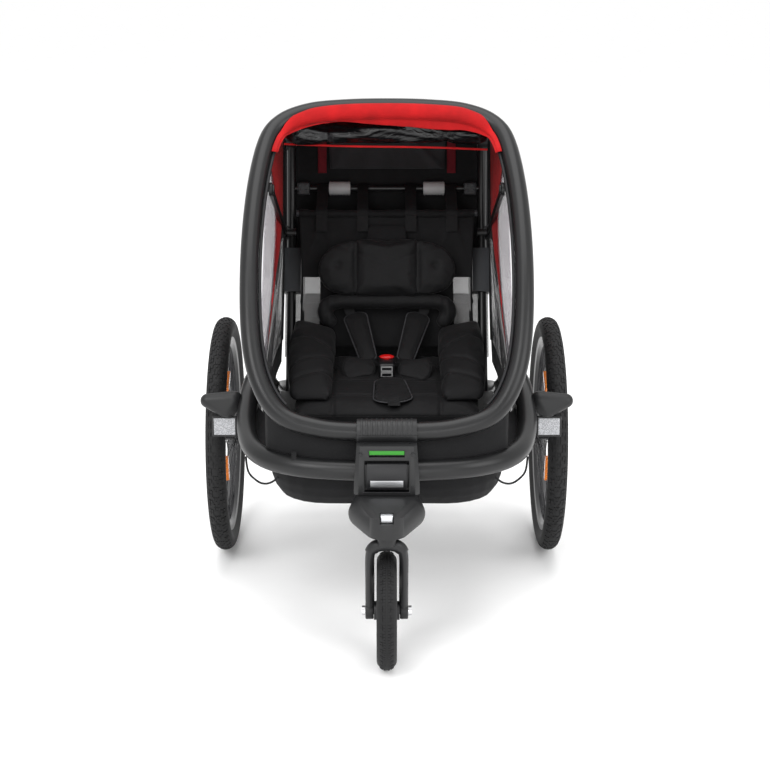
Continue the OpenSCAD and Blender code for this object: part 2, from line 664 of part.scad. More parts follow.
// ---------- hoop and canopy ----------
lug_x = 236;                  // inner face of the link lug
lug_side = 9 * unit([14, 18]);
module front_hoop() {
    color("dimgray") place() {
        difference() {
            sweep(hoop_path, hoop_r, 16, hoop_up);
            sweep([for (i = [2 : len(hoop_path) - 3]) hoop_path[i]], hoop_r - tube_wall, 8, hoop_up);
        }
        rod_x(hinge_y, hoop_bottom_z, -sleeve_l / 2, sleeve_l / 2, sleeve_r);
        both_sides() {
            rod_x(LINK_FRONT[0], LINK_FRONT[1], link_x - 1, lug_x + 4, pin_r);
            rod_x(LINK_FRONT[0], LINK_FRONT[1], link_x - 4, link_x - 0.4, pin_r + 4);
            rod_x(LINK_FRONT[0], LINK_FRONT[1], lug_x, lug_x + 8, 10);
            side_plate(lug_x, lug_x + 8, [lug_at + lug_side, LINK_FRONT + lug_side, LINK_FRONT - lug_side,
                lug_at - lug_side]);
        }
    }
}
// The same path drawn in by d, square to the tube, without its two ends
function inward(i) = let (n = unit(cross(hoop_up, hoop_path[i + 1] - hoop_path[i - 1])))
    n * (hoop_mid - hoop_path[i]) > 0 ? n : -n;
function drawn_in(d) = [for (i = [2 : len(hoop_path) - 3]) hoop_path[i] + d * inward(i)];
gasket_r = 3;
module hoop_gasket() {
    color("#101012") place() sweep(drawn_in(hoop_r + gasket_r + seat_gap), gasket_r, 6, hoop_up);
}

roof_back = 235;
roof_z = 941.6;
roof_x = 218;
module canopy() {
    color("firebrick") place() difference() {
        loft([plan_ring(roof_x, -110, roof_back, 20, 50, roof_z - 20, -0.15),
            plan_ring(roof_x - 6, -112, roof_back, 20, 50, roof_z, -0.18)]);
        loft([plan_ring(roof_x - cloth_t, -110 + cloth_t, roof_back - cloth_t, 17, 47, roof_z - 30, -0.15),
            plan_ring(roof_x - 6 - cloth_t, -112 + cloth_t, roof_back - cloth_t, 17, 47, roof_z - cloth_t, -0.18)]);
    }
}
module side_windows() {
    front_edge = [for (z = [480 : 70 : 900]) let (p = hoop_point(0, z)) [p[1] + 26, z]];
    color("thistle") place() both_sides() difference() {
        side_plate(side_x + cloth_t + soft_gap, side_x + 2 * cloth_t + soft_gap,
            concat([[-470, 440]], front_edge, [[-100, 905], [60, 885], [168, 850], [162, 640], [70, 440],
                [44, side_top + soft_gap], [-250, side_top + soft_gap]]));
        rod_x(LINK_FRONT[0], LINK_FRONT[1], 200, 260, pin_r + 2);
    }
}
module rolled_cover() {
    color("#101012") place() {
        rod_x(-79, roof_z - cloth_t - 33.8, -198, 198, 27);
    }
}

// ---------- rear frame ----------
module strut_tube(a, b, x, grow = 0) {
    d = b - a;
    translate([x, a[0], a[1]]) rotate([atan2(d[1], d[0]) - 90, 0, 0]) cylinder(r = strut_r + grow, h = norm(d));
}
module rear_struts() {
    color("dimgray") place() difference() {
        union() {
            both_sides() {
                strut_tube(STRUT_FOOT, strut_bend, strut_x);
                strut_tube(strut_bend, STRUT_TOP, strut_x);
                rod_x(STRUT_FOOT[0], STRUT_FOOT[1], strut_x - strut_r, strut_x + strut_r, 14);
                rod_x(strut_bend[0], strut_bend[1], strut_x - strut_r, strut_x + strut_r + 1, 13);
                rod_x(strut_bend[0], strut_bend[1], strut_x, link_x + link_t + 1, pin_r);
                rod_x(strut_bend[0], strut_bend[1], link_x + link_t + 0.4, link_x + link_t + 4, pin_r + 8);
                rod_x(STRUT_TOP[0], STRUT_TOP[1], strut_x - strut_r, strut_x + strut_r + 1, 16);
                rod_x(STRUT_TOP[0], STRUT_TOP[1], strut_x, strut_x + 40, 8);
            }
            rod_x(bar_at[0], bar_at[1], -strut_x, strut_x, bar_d / 2);
        }
        both_sides() rod_x(STRUT_FOOT[0], STRUT_FOOT[1], strut_x - 30, strut_x + 30, pin_r + 1 + run_fit);
    }
}
module bar_sleeves() {
    color("lightgray") place() both_sides() difference() {
        union() {
            rod_x(bar_at[0], bar_at[1], 80, 126, 14);
            for (i = [0 : 6]) rod_x(bar_at[0], bar_at[1], 82 + i * 6.6, 84.4 + i * 6.6, 15.5);
        }
        rod_x(bar_at[0], bar_at[1], 70, 140, bar_d / 2 + 0.3);
    }
}
bracket_a = strut_bend + (STRUT_FOOT - strut_bend) * 0.1;
bracket_b = strut_bend + (STRUT_FOOT - strut_bend) * 0.36;
module fold_brackets() {
    color("gray") place() both_sides() difference() {
        strap(strut_x - 3, bracket_b, bracket_a, 36, 30);
        strut_tube(STRUT_FOOT, strut_bend, strut_x, seat_gap);
        rod_x(strut_bend[0], strut_bend[1], 150, 250, 14);
    }
}
module upper_links() {
    d = LINK_REAR - LINK_FRONT;
    color("dimgray") place() both_sides() difference() {
        union() {
            rod_x(LINK_FRONT[0], LINK_FRONT[1], link_x, link_x + link_t, 13);
            rod_x(LINK_REAR[0], LINK_REAR[1], link_x, link_x + link_t, pin_r + open_pivot_gap + 6);
            translate([link_x, LINK_FRONT[0], LINK_FRONT[1]]) rotate([atan2(d[1], d[0]), 0, 0])
                translate([0, 0, -9]) cube([link_t, norm(d), 18]);
        }
        rod_x(LINK_FRONT[0], LINK_FRONT[1], link_x - 1, link_x + link_t + 1, pin_r + run_fit);
        rod_x(LINK_REAR[0], LINK_REAR[1], link_x - 1, link_x + link_t + 1, pin_r + open_pivot_gap);
    }
}

// ---------- handlebar ----------
grip_y = tail_l - handle_r - 3;
grip_z = 872;
handle_x = strut_x + strut_r + 4 + handle_r;
HANDLE_CORNERS = [[0, 0], [0, 0.34], [0, 0.62], [0.04, 0.86], [0.12, 0.96], [0.25, 1], [0.4, 1]]; // inset, share of reach
handle_reach = [grip_y - STRUT_TOP[0], grip_z - STRUT_TOP[1]];
handle_half = [for (c = HANDLE_CORNERS) [handle_x * (1 - c[0]), STRUT_TOP[0] + handle_reach[0] * c[1],
    STRUT_TOP[1] + handle_reach[1] * c[1]]];
handle_path = smooth_open(concat(handle_half, mirror_x(handle_half)), 3);
module handlebar() {
    color("dimgray") place() difference() {
        union() {
            sweep(handle_path, handle_r, 16, [0, -handle_reach[1], handle_reach[0]]);
            both_sides() rod_x(STRUT_TOP[0], STRUT_TOP[1], handle_x - handle_r - 1, handle_x + handle_r + 1, 19);
        }
        both_sides() rod_x(STRUT_TOP[0], STRUT_TOP[1], strut_x, 270, 8 + run_fit);
    }
}
module handle_grip() {
    color("#101012") place() difference() {
        rod_x(grip_y, grip_z, -140, 140, handle_r + 3);
        rod_x(grip_y, grip_z, -141, 141, handle_r + 0.3);
    }
}

// ---------- parking brake ----------
module brake_bar() {
    color("silver") place() {
        rod_x(chassis_back + 2, 268, -100, 100, 5);
        both_sides() side_plate(84, 90, [[chassis_back - 10, 262], [chassis_back + 12, 262],
            [chassis_back + 12, cross_z - chassis_r - seat_gap], [chassis_back - 10, cross_z - chassis_r - seat_gap]]);
    }
}
module brake_pedal() {
    color("red") place() difference() {
        union() {
            rod_x(chassis_back + 2, 268, -28, 28, 11);
            span([-28, chassis_back + 6, 262], [28, chassis_back + 56, 270]);
        }
        rod_x(chassis_back + 2, 268, -30, 30, 5 + run_fit);
    }
}

// ---------- cover cords ----------
CORD_LEFT = [[262, -470, 345], [256, -490, 322], [240, -500, 308], [226, -505, 304], [212, -508, 308], [200, -510, 318]];
cord_r = 2;
module cover_cord_left() { color("black") place() sweep(smooth_open(CORD_LEFT, 3), cord_r, 8, [0, 1, 0]); }
module cover_cord_right() {
    color("black") place() sweep(smooth_open([for (p = CORD_LEFT) [-p[0], p[1], p[2]]], 3), cord_r, 8, [0, 1, 0]);
}

chassis_tube();
axle_beam();
connector_housing();
clamp_cap();
clamp_bolts();
nose_housing();
fabric_tub();
floor_board();
cover_cord_left();
cover_cord_right();
tow_socket();
wheel_guards();
guard_reflectors();
seat_cushion();
seat_bolsters();
seat_back();
hanging_straps();
head_pillow();
neck_roll();
shoulder_straps();
waist_straps();
crotch_strap();
buckle();
buckle_button();
luggage_bag();
brake_bar();
brake_pedal();
latch_button();
latch_inlay();
lock_indicator();
swivel_tab();
front_fork();
front_axle();
front_tyre();
front_rim();
left_arm();
right_arm();
left_tyre();
left_rim();
left_spokes();
left_hub();
left_spoke_reflectors();
left_release_button();
right_tyre();
right_rim();
right_spokes();
right_hub();
right_spoke_reflectors();
right_release_button();
front_hoop();
hoop_gasket();
canopy();
side_windows();
rolled_cover();
rear_struts();
bar_sleeves();
fold_brackets();
upper_links();
handlebar();
handle_grip();
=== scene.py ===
"""Looks of the child bicycle trailer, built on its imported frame.

Lengths in the code are millimetres from the rear axle line; spot() turns them
into metres in the frame, so a piece is always made where the frame has it.
"""
import json
import math

import bpy
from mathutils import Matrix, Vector

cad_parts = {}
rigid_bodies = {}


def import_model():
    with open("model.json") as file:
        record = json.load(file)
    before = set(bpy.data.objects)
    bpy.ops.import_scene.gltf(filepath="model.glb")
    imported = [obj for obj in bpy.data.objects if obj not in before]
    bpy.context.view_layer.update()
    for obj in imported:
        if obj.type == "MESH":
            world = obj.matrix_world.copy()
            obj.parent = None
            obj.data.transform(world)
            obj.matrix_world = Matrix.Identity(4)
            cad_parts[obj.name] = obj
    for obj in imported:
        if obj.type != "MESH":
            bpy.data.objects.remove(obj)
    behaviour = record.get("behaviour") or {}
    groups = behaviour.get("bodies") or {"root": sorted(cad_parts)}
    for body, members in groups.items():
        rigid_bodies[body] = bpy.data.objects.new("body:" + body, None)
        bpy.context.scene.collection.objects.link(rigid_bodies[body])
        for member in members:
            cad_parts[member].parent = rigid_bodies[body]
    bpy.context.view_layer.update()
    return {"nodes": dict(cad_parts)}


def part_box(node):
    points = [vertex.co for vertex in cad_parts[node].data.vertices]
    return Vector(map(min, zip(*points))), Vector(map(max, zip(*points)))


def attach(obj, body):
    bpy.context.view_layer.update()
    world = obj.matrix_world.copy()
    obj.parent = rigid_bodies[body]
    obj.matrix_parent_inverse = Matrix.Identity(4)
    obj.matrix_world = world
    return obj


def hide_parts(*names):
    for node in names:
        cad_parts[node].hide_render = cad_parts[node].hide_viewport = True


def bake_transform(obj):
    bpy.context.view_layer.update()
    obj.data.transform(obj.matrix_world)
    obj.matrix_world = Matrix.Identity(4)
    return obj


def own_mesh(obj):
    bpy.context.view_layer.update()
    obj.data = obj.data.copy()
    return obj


MM = 0.001
WAVE_BANDS = 3.1831     # bands in one unit of a wave texture at scale 1
SWELL_STEPS = 20        # frames of the run that stuffs the pads
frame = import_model()
nodes = frame["nodes"]

tyre_low, tyre_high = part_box("left_tyre")
AXLE = Vector((0, (tyre_low.y + tyre_high.y) / 2, 0))
WHEEL_Z = (tyre_low.z + tyre_high.z) / 2 / MM
WHEEL_X = (tyre_low.x + tyre_high.x) / 2 / MM
WHEEL_R = (tyre_high.z - tyre_low.z) / 2 / MM


def spot(x, y, z):
    """A point given in millimetres from the rear axle line, in the frame's metres."""
    return Vector((x, y, z)) * MM + AXLE


# ---------- camera, light and floor ----------

def make_camera():
    data = bpy.data.cameras.new("camera")
    data.lens = 75.9
    data.sensor_width = 36
    data.shift_x = -0.0023
    data.clip_end = 400
    camera = bpy.data.objects.new("camera", data)
    bpy.context.scene.collection.objects.link(camera)
    tilt = math.radians(15)
    back = Vector((0, -math.cos(tilt), math.sin(tilt)))
    camera.location = spot(0, -3351.1, 1255)
    camera.rotation_euler = back.to_track_quat("Z", "Y").to_euler()
    bpy.context.scene.camera = camera


def make_lamp(name, place, aim, size, power):
    data = bpy.data.lights.new(name, "AREA")
    data.shape = "RECTANGLE"
    data.size, data.size_y = size
    data.energy = power
    lamp = bpy.data.objects.new(name, data)
    lamp.location = place
    lamp.rotation_euler = (Vector(place) - Vector(aim)).to_track_quat("Z", "Y").to_euler()
    bpy.context.scene.collection.objects.link(lamp)


def make_studio():
    make_lamp("key_light", (-1.9, -3.2, 3.3), (0, 0, 0.5), (2.2, 2.2), 95)
    make_lamp("fill_light", (2.6, -2.4, 2.2), (0, 0, 0.5), (2.4, 2.4), 60)
    make_lamp("top_light", (0, -0.2, 3.4), (0, 0, 0.4), (2.6, 2.6), 60)
    make_lamp("low_front_light", (0, -4.2, 0.9), (0, 0, 0.5), (2.4, 1.2), 30)
    world = bpy.data.worlds.new("studio")
    world.use_nodes = True
    world.node_tree.nodes["Background"].inputs["Color"].default_value = (1, 1, 1, 1)
    world.node_tree.nodes["Background"].inputs["Strength"].default_value = 1.02
    bpy.context.scene.world = world
    bpy.context.scene.view_settings.view_transform = "Standard"
    deselect()
    bpy.ops.mesh.primitive_plane_add(size=400, location=(0, 0, -0.0005))
    floor = bpy.context.object
    floor.name = "floor"
    floor.data.materials.append(plain("floor_paper", (0.98, 0.98, 0.98), 0.95))


# ---------- material building blocks ----------

class Finish:
    """A principled material whose colour and bump are built up layer by layer."""

    def __init__(self, name, colour, roughness, metallic=0.0):
        self.material = bpy.data.materials.new(name)
        self.material.use_nodes = True
        self.tree = self.material.node_tree
        self.shader = self.tree.nodes["Principled BSDF"]
        self.colour = colour
        self.set("Base Color", (*colour, 1))
        self.set("Roughness", roughness)
        self.set("Metallic", metallic)
        self.coords = self.tree.nodes.new("ShaderNodeTexCoord")
        self.height = None

    def set(self, socket, value):
        self.shader.inputs[socket].default_value = value

    def node(self, kind, **values):
        made = self.tree.nodes.new(kind)
        for key, value in values.items():
            if key in made.inputs:
                made.inputs[key].default_value = value
            else:
                setattr(made, key, value)
        return made

    def link(self, start, end):
        self.tree.links.new(start, end)

    def place(self, turn=(0, 0, 0), scale=(1, 1, 1), uv=False):
        mapping = self.node("ShaderNodeMapping")
        mapping.inputs["Rotation"].default_value = turn
        mapping.inputs["Scale"].default_value = scale
        self.link(self.coords.outputs["UV" if uv else "Object"], mapping.inputs["Vector"])
        return mapping.outputs["Vector"]

    def noise(self, scale, detail=3.0, vector=None, distortion=0.0):
        made = self.node("ShaderNodeTexNoise", Scale=scale, Detail=detail, Distortion=distortion)
        self.link(vector or self.coords.outputs["Object"], made.inputs["Vector"])
        return made.outputs["Fac"]

    def wave(self, pitch_mm, axis, vector=None):
        """Bands along one axis, one band every pitch_mm."""
        made = self.node("ShaderNodeTexWave", bands_direction=axis,
                         Scale=1 / (pitch_mm * MM) / WAVE_BANDS)
        self.link(vector or self.coords.outputs["Object"], made.inputs["Vector"])
        return made.outputs["Fac"]

    def join(self, operation, a, b):
        made = self.node("ShaderNodeMath", operation=operation)
        for socket, value in zip(made.inputs, (a, b)):
            if isinstance(value, (int, float)):
                socket.default_value = value
            else:
                self.link(value, socket)
        return made.outputs[0]

    def bump(self, fac, depth_mm, strength=1.0):
        """Adds relief of depth_mm where fac goes from 0 to 1."""
        made = self.node("ShaderNodeBump", Strength=strength, Distance=depth_mm * MM)
        self.link(fac, made.inputs["Height"])
        if self.height is not None:
            self.link(self.height, made.inputs["Normal"])
        self.height = made.outputs["Normal"]
        self.link(self.height, self.shader.inputs["Normal"])
        return self

    def tint(self, fac, dark, light):
        """Colour between two shares of the base colour, following fac."""
        ramp = self.node("ShaderNodeValToRGB")
        for element, share in zip(ramp.color_ramp.elements, (dark, light)):
            element.color = (*[min(1, c * share) for c in self.colour], 1)
        ramp.color_ramp.elements[0].position = 0.3
        ramp.color_ramp.elements[1].position = 0.7
        self.link(fac, ramp.inputs["Fac"])
        self.link(ramp.outputs["Color"], self.shader.inputs["Base Color"])
        return self

    def roughen(self, fac, low, high):
        spread = self.node("ShaderNodeMapRange")
        spread.inputs["To Min"].default_value = low
        spread.inputs["To Max"].default_value = high
        self.link(fac, spread.inputs["Value"])
        self.link(spread.outputs["Result"], self.shader.inputs["Roughness"])
        return self


def plain(name, colour, roughness, metallic=0.0):
    finish = Finish(name, colour, roughness, metallic)
    finish.tint(finish.noise(6), 0.985, 1.015)
    return finish.material


def moulded(name, colour, roughness, grain_mm=0.06, pitch=900):
    """Injection-moulded plastic with a fine spark-eroded grain."""
    finish = Finish(name, colour, roughness)
    finish.set("Specular IOR Level", 0.34)
    grain = finish.noise(pitch, 2)
    cloud = finish.noise(14, 4)
    finish.bump(grain, grain_mm).tint(cloud, 0.86, 1.14).roughen(cloud, roughness - 0.06, roughness + 0.06)
    return finish.material


def coated(name, colour, roughness):
    """Powder-coated tube: slight orange peel and handling marks."""
    finish = Finish(name, colour, roughness)
    peel = finish.noise(420, 3)
    marks = finish.noise(9, 6, distortion=1.2)
    finish.set("Specular IOR Level", 0.3)
    finish.bump(peel, 0.07).tint(marks, 0.88, 1.12).roughen(marks, roughness - 0.07, roughness + 0.07)
    return finish.material


def cloth(name, colour, roughness=0.85, pitch=1.1, relief=0.18, crease=1.6, sheen=0.25, uv=False):
    """Woven polyester: threads both ways, soft creases and an uneven dye."""
    finish = Finish(name, colour, roughness)
    finish.set("Sheen Weight", sheen)
    finish.set("Sheen Roughness", 0.45)
    finish.set("Specular IOR Level", 0.2)
    threads = finish.join("MAXIMUM", finish.wave(pitch, "X"), finish.wave(pitch, "Z"))
    threads = finish.join("MAXIMUM", threads, finish.wave(pitch, "Y"))
    creases = finish.noise(16, 5, distortion=1.5)
    finish.bump(creases, crease).bump(threads, relief, 0.7).tint(finish.noise(26, 5), 0.82, 1.2)
    return finish.material


def webbing(name, colour):
    """Narrow webbing with ribs across it."""
    finish = Finish(name, colour, 0.72)
    finish.set("Specular IOR Level", 0.22)
    ribs = finish.join("MAXIMUM", finish.wave(2.2, "Z"), finish.wave(1.4, "X"))
    finish.bump(ribs, 0.35).tint(finish.noise(60, 4), 0.8, 1.25)
    return finish.material


def knitted_mesh(name, colour, hole_mm=3.2):
    """Open mesh: round holes in a fine grid that the background shows through."""
    finish = Finish(name, colour, 0.8)
    grid = finish.join("MULTIPLY", finish.wave(hole_mm, "Z"), finish.wave(hole_mm, "Y"))
    thread = finish.join("LESS_THAN", grid, 0.42)
    finish.link(thread, finish.shader.inputs["Alpha"])
    finish.bump(grid, 0.3)
    return finish.material


def film(name, colour, alpha, roughness):
    """Clear tinted film, a little rippled."""
    finish = Finish(name, colour, roughness)
    finish.set("Alpha", alpha)
    finish.set("Coat Weight", 0.5)
    finish.bump(finish.noise(9, 3, distortion=2), 1.4).tint(finish.noise(5, 3), 0.93, 1.07)
    return finish.material


def glossy_cover(name, colour):
    """Shiny coated cover, crumpled where it is rolled."""
    finish = Finish(name, colour, 0.22)
    finish.set("Specular IOR Level", 0.35)
    along = finish.place(scale=(0.35, 1, 1))
    finish.bump(finish.noise(22, 5, along, 2.0), 7).bump(finish.noise(80, 2, along, 1.0), 0.8)
    finish.tint(finish.noise(12, 4), 0.6, 1.4)
    return finish.material


def rubber(name, colour, roughness=0.78):
    finish = Finish(name, colour, roughness)
    finish.set("Specular IOR Level", 0.32)
    dust = finish.noise(35, 6)
    finish.bump(finish.noise(700, 2), 0.08).tint(dust, 0.75, 1.35)
    finish.roughen(dust, roughness - 0.1, roughness + 0.1)
    return finish.material


def metal(name, colour, roughness, axis="X"):
    """Brushed metal with fine lines along one axis."""
    finish = Finish(name, colour, roughness, 1.0)
    stretch = {"X": (2, 90, 90), "Y": (90, 2, 90), "Z": (90, 90, 2)}[axis]
    lines = finish.noise(12, 4, finish.place(scale=stretch))
    finish.bump(lines, 0.04).tint(lines, 0.9, 1.1).roughen(lines, roughness - 0.08, roughness + 0.08)
    return finish.material


def prismatic(name, colour, cell_mm=2.2):
    """Reflector: small pyramids under a clear skin, their colour darker in the cell hollows and lighter on the ridges
    as painted shade and painted highlight.
    """
    finish = Finish(name, colour, 0.22)
    finish.set("Coat Weight", 0.8)
    finish.set("Coat Roughness", 0.05)
    cells = finish.node("ShaderNodeTexVoronoi", Scale=1 / (cell_mm * MM))
    finish.link(finish.coords.outputs["Object"], cells.inputs["Vector"])
    # the colour follows the cells' relief: painted shade in the hollows, painted highlight on the ridges between them
    finish.bump(cells.outputs["Distance"], 0.8).tint(cells.outputs["Distance"], 0.7, 1.25)
    return finish.material


# ---------- modelling helpers ----------

def deselect():
    for thing in bpy.context.view_layer.objects:
        thing.select_set(False)


def only(piece):
    deselect()
    piece.select_set(True)
    bpy.context.view_layer.objects.active = piece
    return piece


def settle(piece):
    """Moves the piece's place into its mesh."""
    only(piece)
    bpy.ops.object.transform_apply(location=True, rotation=True, scale=True)
    return piece


def finish_mesh(piece, *modifiers):
    """Adds modifiers given as (type, settings) and applies them in turn."""
    only(piece)
    for kind, settings in modifiers:
        added = piece.modifiers.new(kind.lower(), kind)
        for key, value in settings.items():
            setattr(added, key, value)
        bpy.ops.object.modifier_apply(modifier=added.name)
    return piece


def round_edges(piece, width, segments=3, angle=30):
    return finish_mesh(piece, ("BEVEL", dict(width=width * MM, segments=segments, limit_method="ANGLE",
                                             angle_limit=math.radians(angle), harden_normals=False)))


def smooth(piece, angle=None):
    only(piece)
    if angle is None:
        bpy.ops.object.shade_smooth()
    else:
        bpy.ops.object.shade_smooth_by_angle(angle=math.radians(angle))
    return piece


def dress(piece, body, material, slot=None, replaces=()):
    """Gives a finished piece its material, its body and the CAD nodes it stands for.
    What leans is put on no body: its place is baked into its mesh."""
    piece.data.materials.clear()
    piece.data.materials.append(material)
    if body == "leaning":
        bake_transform(piece)
    else:
        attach(piece, body)
    if replaces:
        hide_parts(*replaces)
    return piece


def box(name, low, high):
    """A box between two corners."""
    a, b = spot(*low), spot(*high)
    deselect()
    bpy.ops.mesh.primitive_cube_add(size=1, location=(a + b) / 2)
    piece = bpy.context.object
    piece.name = name
    piece.scale = b - a
    return settle(piece)


def rod(name, start, end, radius, sides=32):
    a, b = spot(*start), spot(*end)
    deselect()
    bpy.ops.mesh.primitive_cylinder_add(vertices=sides, radius=radius * MM, depth=(b - a).length,
                                        location=(a + b) / 2)
    piece = bpy.context.object
    piece.name = name
    piece.rotation_euler = (b - a).to_track_quat("Z", "Y").to_euler()
    return settle(piece)


def ball(name, centre, radii, segments=32):
    deselect()
    bpy.ops.mesh.primitive_uv_sphere_add(segments=segments, ring_count=segments // 2, radius=1,
                                         location=spot(*centre))
    piece = bpy.context.object
    piece.name = name
    piece.scale = Vector(radii) * MM
    return settle(piece)


def wire(name, places, radius, resolution, closed=False):
    """A round curve object through places given in metres."""
    deselect()
    bpy.ops.curve.primitive_nurbs_path_add(location=(0, 0, 0))
    curve = bpy.context.object
    curve.name = name
    curve.data.splines.clear()
    spline = curve.data.splines.new("POLY")
    spline.points.add(len(places) - 1)
    for point, place in zip(spline.points, places):
        point.co = (*place, 1)
    spline.use_cyclic_u = closed
    curve.data.bevel_depth = radius * MM
    curve.data.bevel_resolution = resolution
    curve.data.fill_mode = "FULL"
    curve.data.use_fill_caps = not closed
    return curve


def tube(name, points, radius, closed=False, sides=12):
    """A round tube along points given in millimetres."""
    curve = wire(name, [spot(*point) for point in points], radius, sides // 4 - 1, closed)
    curve.data.dimensions = "3D"
    curve.data.twist_mode = "MINIMUM"
    only(curve)
    bpy.ops.object.convert(target="MESH")
    return smooth(bpy.context.object)


def sheet_grid(name, across, down, place):
    """A sheet from a grid, each corner put where place(u, v) says, u and v from 0 to 1."""
    deselect()
    bpy.ops.mesh.primitive_grid_add(x_subdivisions=across, y_subdivisions=down, size=1)
    piece = bpy.context.object
    piece.name = name
    for corner in piece.data.vertices:
        corner.co = spot(*place(corner.co.x + 0.5, corner.co.y + 0.5))
    return piece


def join_pieces(first, *others):
    deselect()
    for piece in (first, *others):
        piece.select_set(True)
    bpy.context.view_layer.objects.active = first
    bpy.ops.object.join()
    return first


def copy_of(piece, name):
    twin = piece.copy()
    twin.data = piece.data.copy()
    twin.name = name
    bpy.context.scene.collection.objects.link(twin)
    return twin


def close_seams(piece, fill=False):
    """Merges the edges that meet and, if asked, closes the open ends."""
    only(piece)
    bpy.ops.object.mode_set(mode="EDIT")
    bpy.ops.mesh.select_mode(type="VERT")
    bpy.ops.mesh.select_all(action="SELECT")
    bpy.ops.mesh.remove_doubles(threshold=0.00005)
    if fill:
        bpy.ops.mesh.select_all(action="DESELECT")
        bpy.ops.mesh.select_non_manifold()
        bpy.ops.mesh.fill_holes(sides=0)
    bpy.ops.mesh.select_all(action="SELECT")
    bpy.ops.mesh.normals_make_consistent(inside=False)
    bpy.ops.object.mode_set(mode="OBJECT")
    return piece


def floor_over(piece, level):
    """Closes the bottom of a shell across its corners that lie below level, in metres."""
    only(piece)
    bpy.ops.object.mode_set(mode="EDIT")
    bpy.ops.mesh.select_mode(type="VERT")
    bpy.ops.mesh.select_all(action="DESELECT")
    bpy.ops.object.mode_set(mode="OBJECT")
    rim = [corner.index for corner in piece.data.vertices if corner.co.z < level]
    for index in rim:
        piece.data.vertices[index].select = True
    bpy.ops.object.mode_set(mode="EDIT")
    bpy.ops.mesh.edge_face_add()
    bpy.ops.mesh.select_all(action="SELECT")
    bpy.ops.mesh.normals_make_consistent(inside=False)
    bpy.ops.object.mode_set(mode="OBJECT")


def lerp(a, b, t):
    return a + (b - a) * t


def curve_through(points, steps, closed=False):
    """Points on a smooth curve through the given ones."""
    count = len(points)
    result = []
    for i in range(count if closed else count - 1):
        if closed:
            a, b, c, d = (Vector(points[(i + k) % count]) for k in (-1, 0, 1, 2))
        else:
            a, b, c, d = (Vector(points[min(max(i + k, 0), count - 1)]) for k in (-1, 0, 1, 2))
        for s in range(steps):
            t = s / steps
            result.append(0.5 * (2 * b + (c - a) * t + (2 * a - 5 * b + 4 * c - d) * t * t
                                 + (3 * b - a - 3 * c + d) * t ** 3))
    if not closed:
        result.append(Vector(points[-1]))
    return result


def plate(name, outline, x0, x1):
    """A plate across the trailer from a side-view outline of (y, z) points."""
    deselect()
    bpy.ops.mesh.primitive_circle_add(vertices=len(outline), fill_type="NGON")
    piece = bpy.context.object
    piece.name = name
    for corner, (y, z) in zip(piece.data.vertices, outline):
        corner.co = spot(x0, y, z)
    bpy.ops.object.mode_set(mode="EDIT")
    bpy.ops.mesh.select_all(action="SELECT")
    bpy.ops.mesh.extrude_region_move(TRANSFORM_OT_translate={"value": ((x1 - x0) * MM, 0, 0)})
    bpy.ops.mesh.select_all(action="SELECT")
    bpy.ops.mesh.normals_make_consistent(inside=False)
    bpy.ops.object.mode_set(mode="OBJECT")
    return piece


def slab(name, outline, thickness, put, rows=2):
    """A flat padded shape: an outline of (u, v) points, given thickness, and put(u, v, w) in place."""
    deselect()
    bpy.ops.mesh.primitive_circle_add(vertices=len(outline), fill_type="NGON")
    piece = bpy.context.object
    piece.name = name
    for corner, (u, v) in zip(piece.data.vertices, outline):
        corner.co = (u, v, 0)
    bpy.ops.object.mode_set(mode="EDIT")
    bpy.ops.mesh.select_all(action="SELECT")
    bpy.ops.mesh.extrude_region_move(TRANSFORM_OT_translate={"value": (0, 0, thickness)})
    bpy.ops.object.mode_set(mode="OBJECT")
    for corner in piece.data.vertices:
        corner.co = spot(*put(*corner.co))
    only(piece)
    bpy.ops.object.mode_set(mode="EDIT")
    bpy.ops.mesh.select_all(action="SELECT")
    bpy.ops.mesh.quads_convert_to_tris()
    bpy.ops.mesh.normals_make_consistent(inside=False)
    bpy.ops.object.mode_set(mode="OBJECT")
    return piece


def rounded(width, height, corner, steps=5, centre=(0, 0)):
    """Outline of a rounded rectangle round its centre."""
    points = []
    for sx, sy, start in ((1, 1, 0), (-1, 1, 90), (-1, -1, 180), (1, -1, 270)):
        for k in range(steps + 1):
            a = math.radians(start + 90 * k / steps)
            points.append((centre[0] + sx * (width / 2 - corner) + corner * math.cos(a),
                           centre[1] + sy * (height / 2 - corner) + corner * math.sin(a)))
    return points


def from_node(node, name, edge=0.8, segments=2, angle=35):
    """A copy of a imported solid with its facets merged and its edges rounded."""
    piece = copy_of(nodes[node], name)
    for key in list(piece.keys()):
        del piece[key]
    only(piece)
    bpy.ops.object.mode_set(mode="EDIT")
    bpy.ops.mesh.select_all(action="SELECT")
    bpy.ops.mesh.remove_doubles(threshold=0.00002)
    bpy.ops.mesh.dissolve_limited(angle_limit=math.radians(1))
    bpy.ops.object.mode_set(mode="OBJECT")
    round_edges(piece, edge, segments, angle)
    return smooth(piece, 40)


def wall(piece, thickness, offset=0):
    """Gives a sheet its thickness."""
    return finish_mesh(piece, ("SOLIDIFY", dict(thickness=thickness * MM, offset=offset,
                                                use_even_offset=True)))


def ribbon(name, path, width, thickness=2.0, across=(1, 0, 0)):
    """A flat strap whose middle follows path and whose width lies along across."""
    steps = len(path) - 1
    side = Vector(across) * width / 2

    def place(u, v):
        middle = Vector(path[round(v * steps)])
        return middle + side * (2 * u - 1)
    piece = sheet_grid(name, 3, steps, place)
    wall(piece, thickness)
    return smooth(piece, 40)


def hang(piece, body, material, slot, thickness, offset=0, angle=None, replaces=()):
    """Finishes a sheet: its thickness in millimetres, its smooth shading and its dress.
    """
    wall(piece, thickness, offset)
    dress(smooth(piece, angle), body, material, slot, replaces)
    return piece


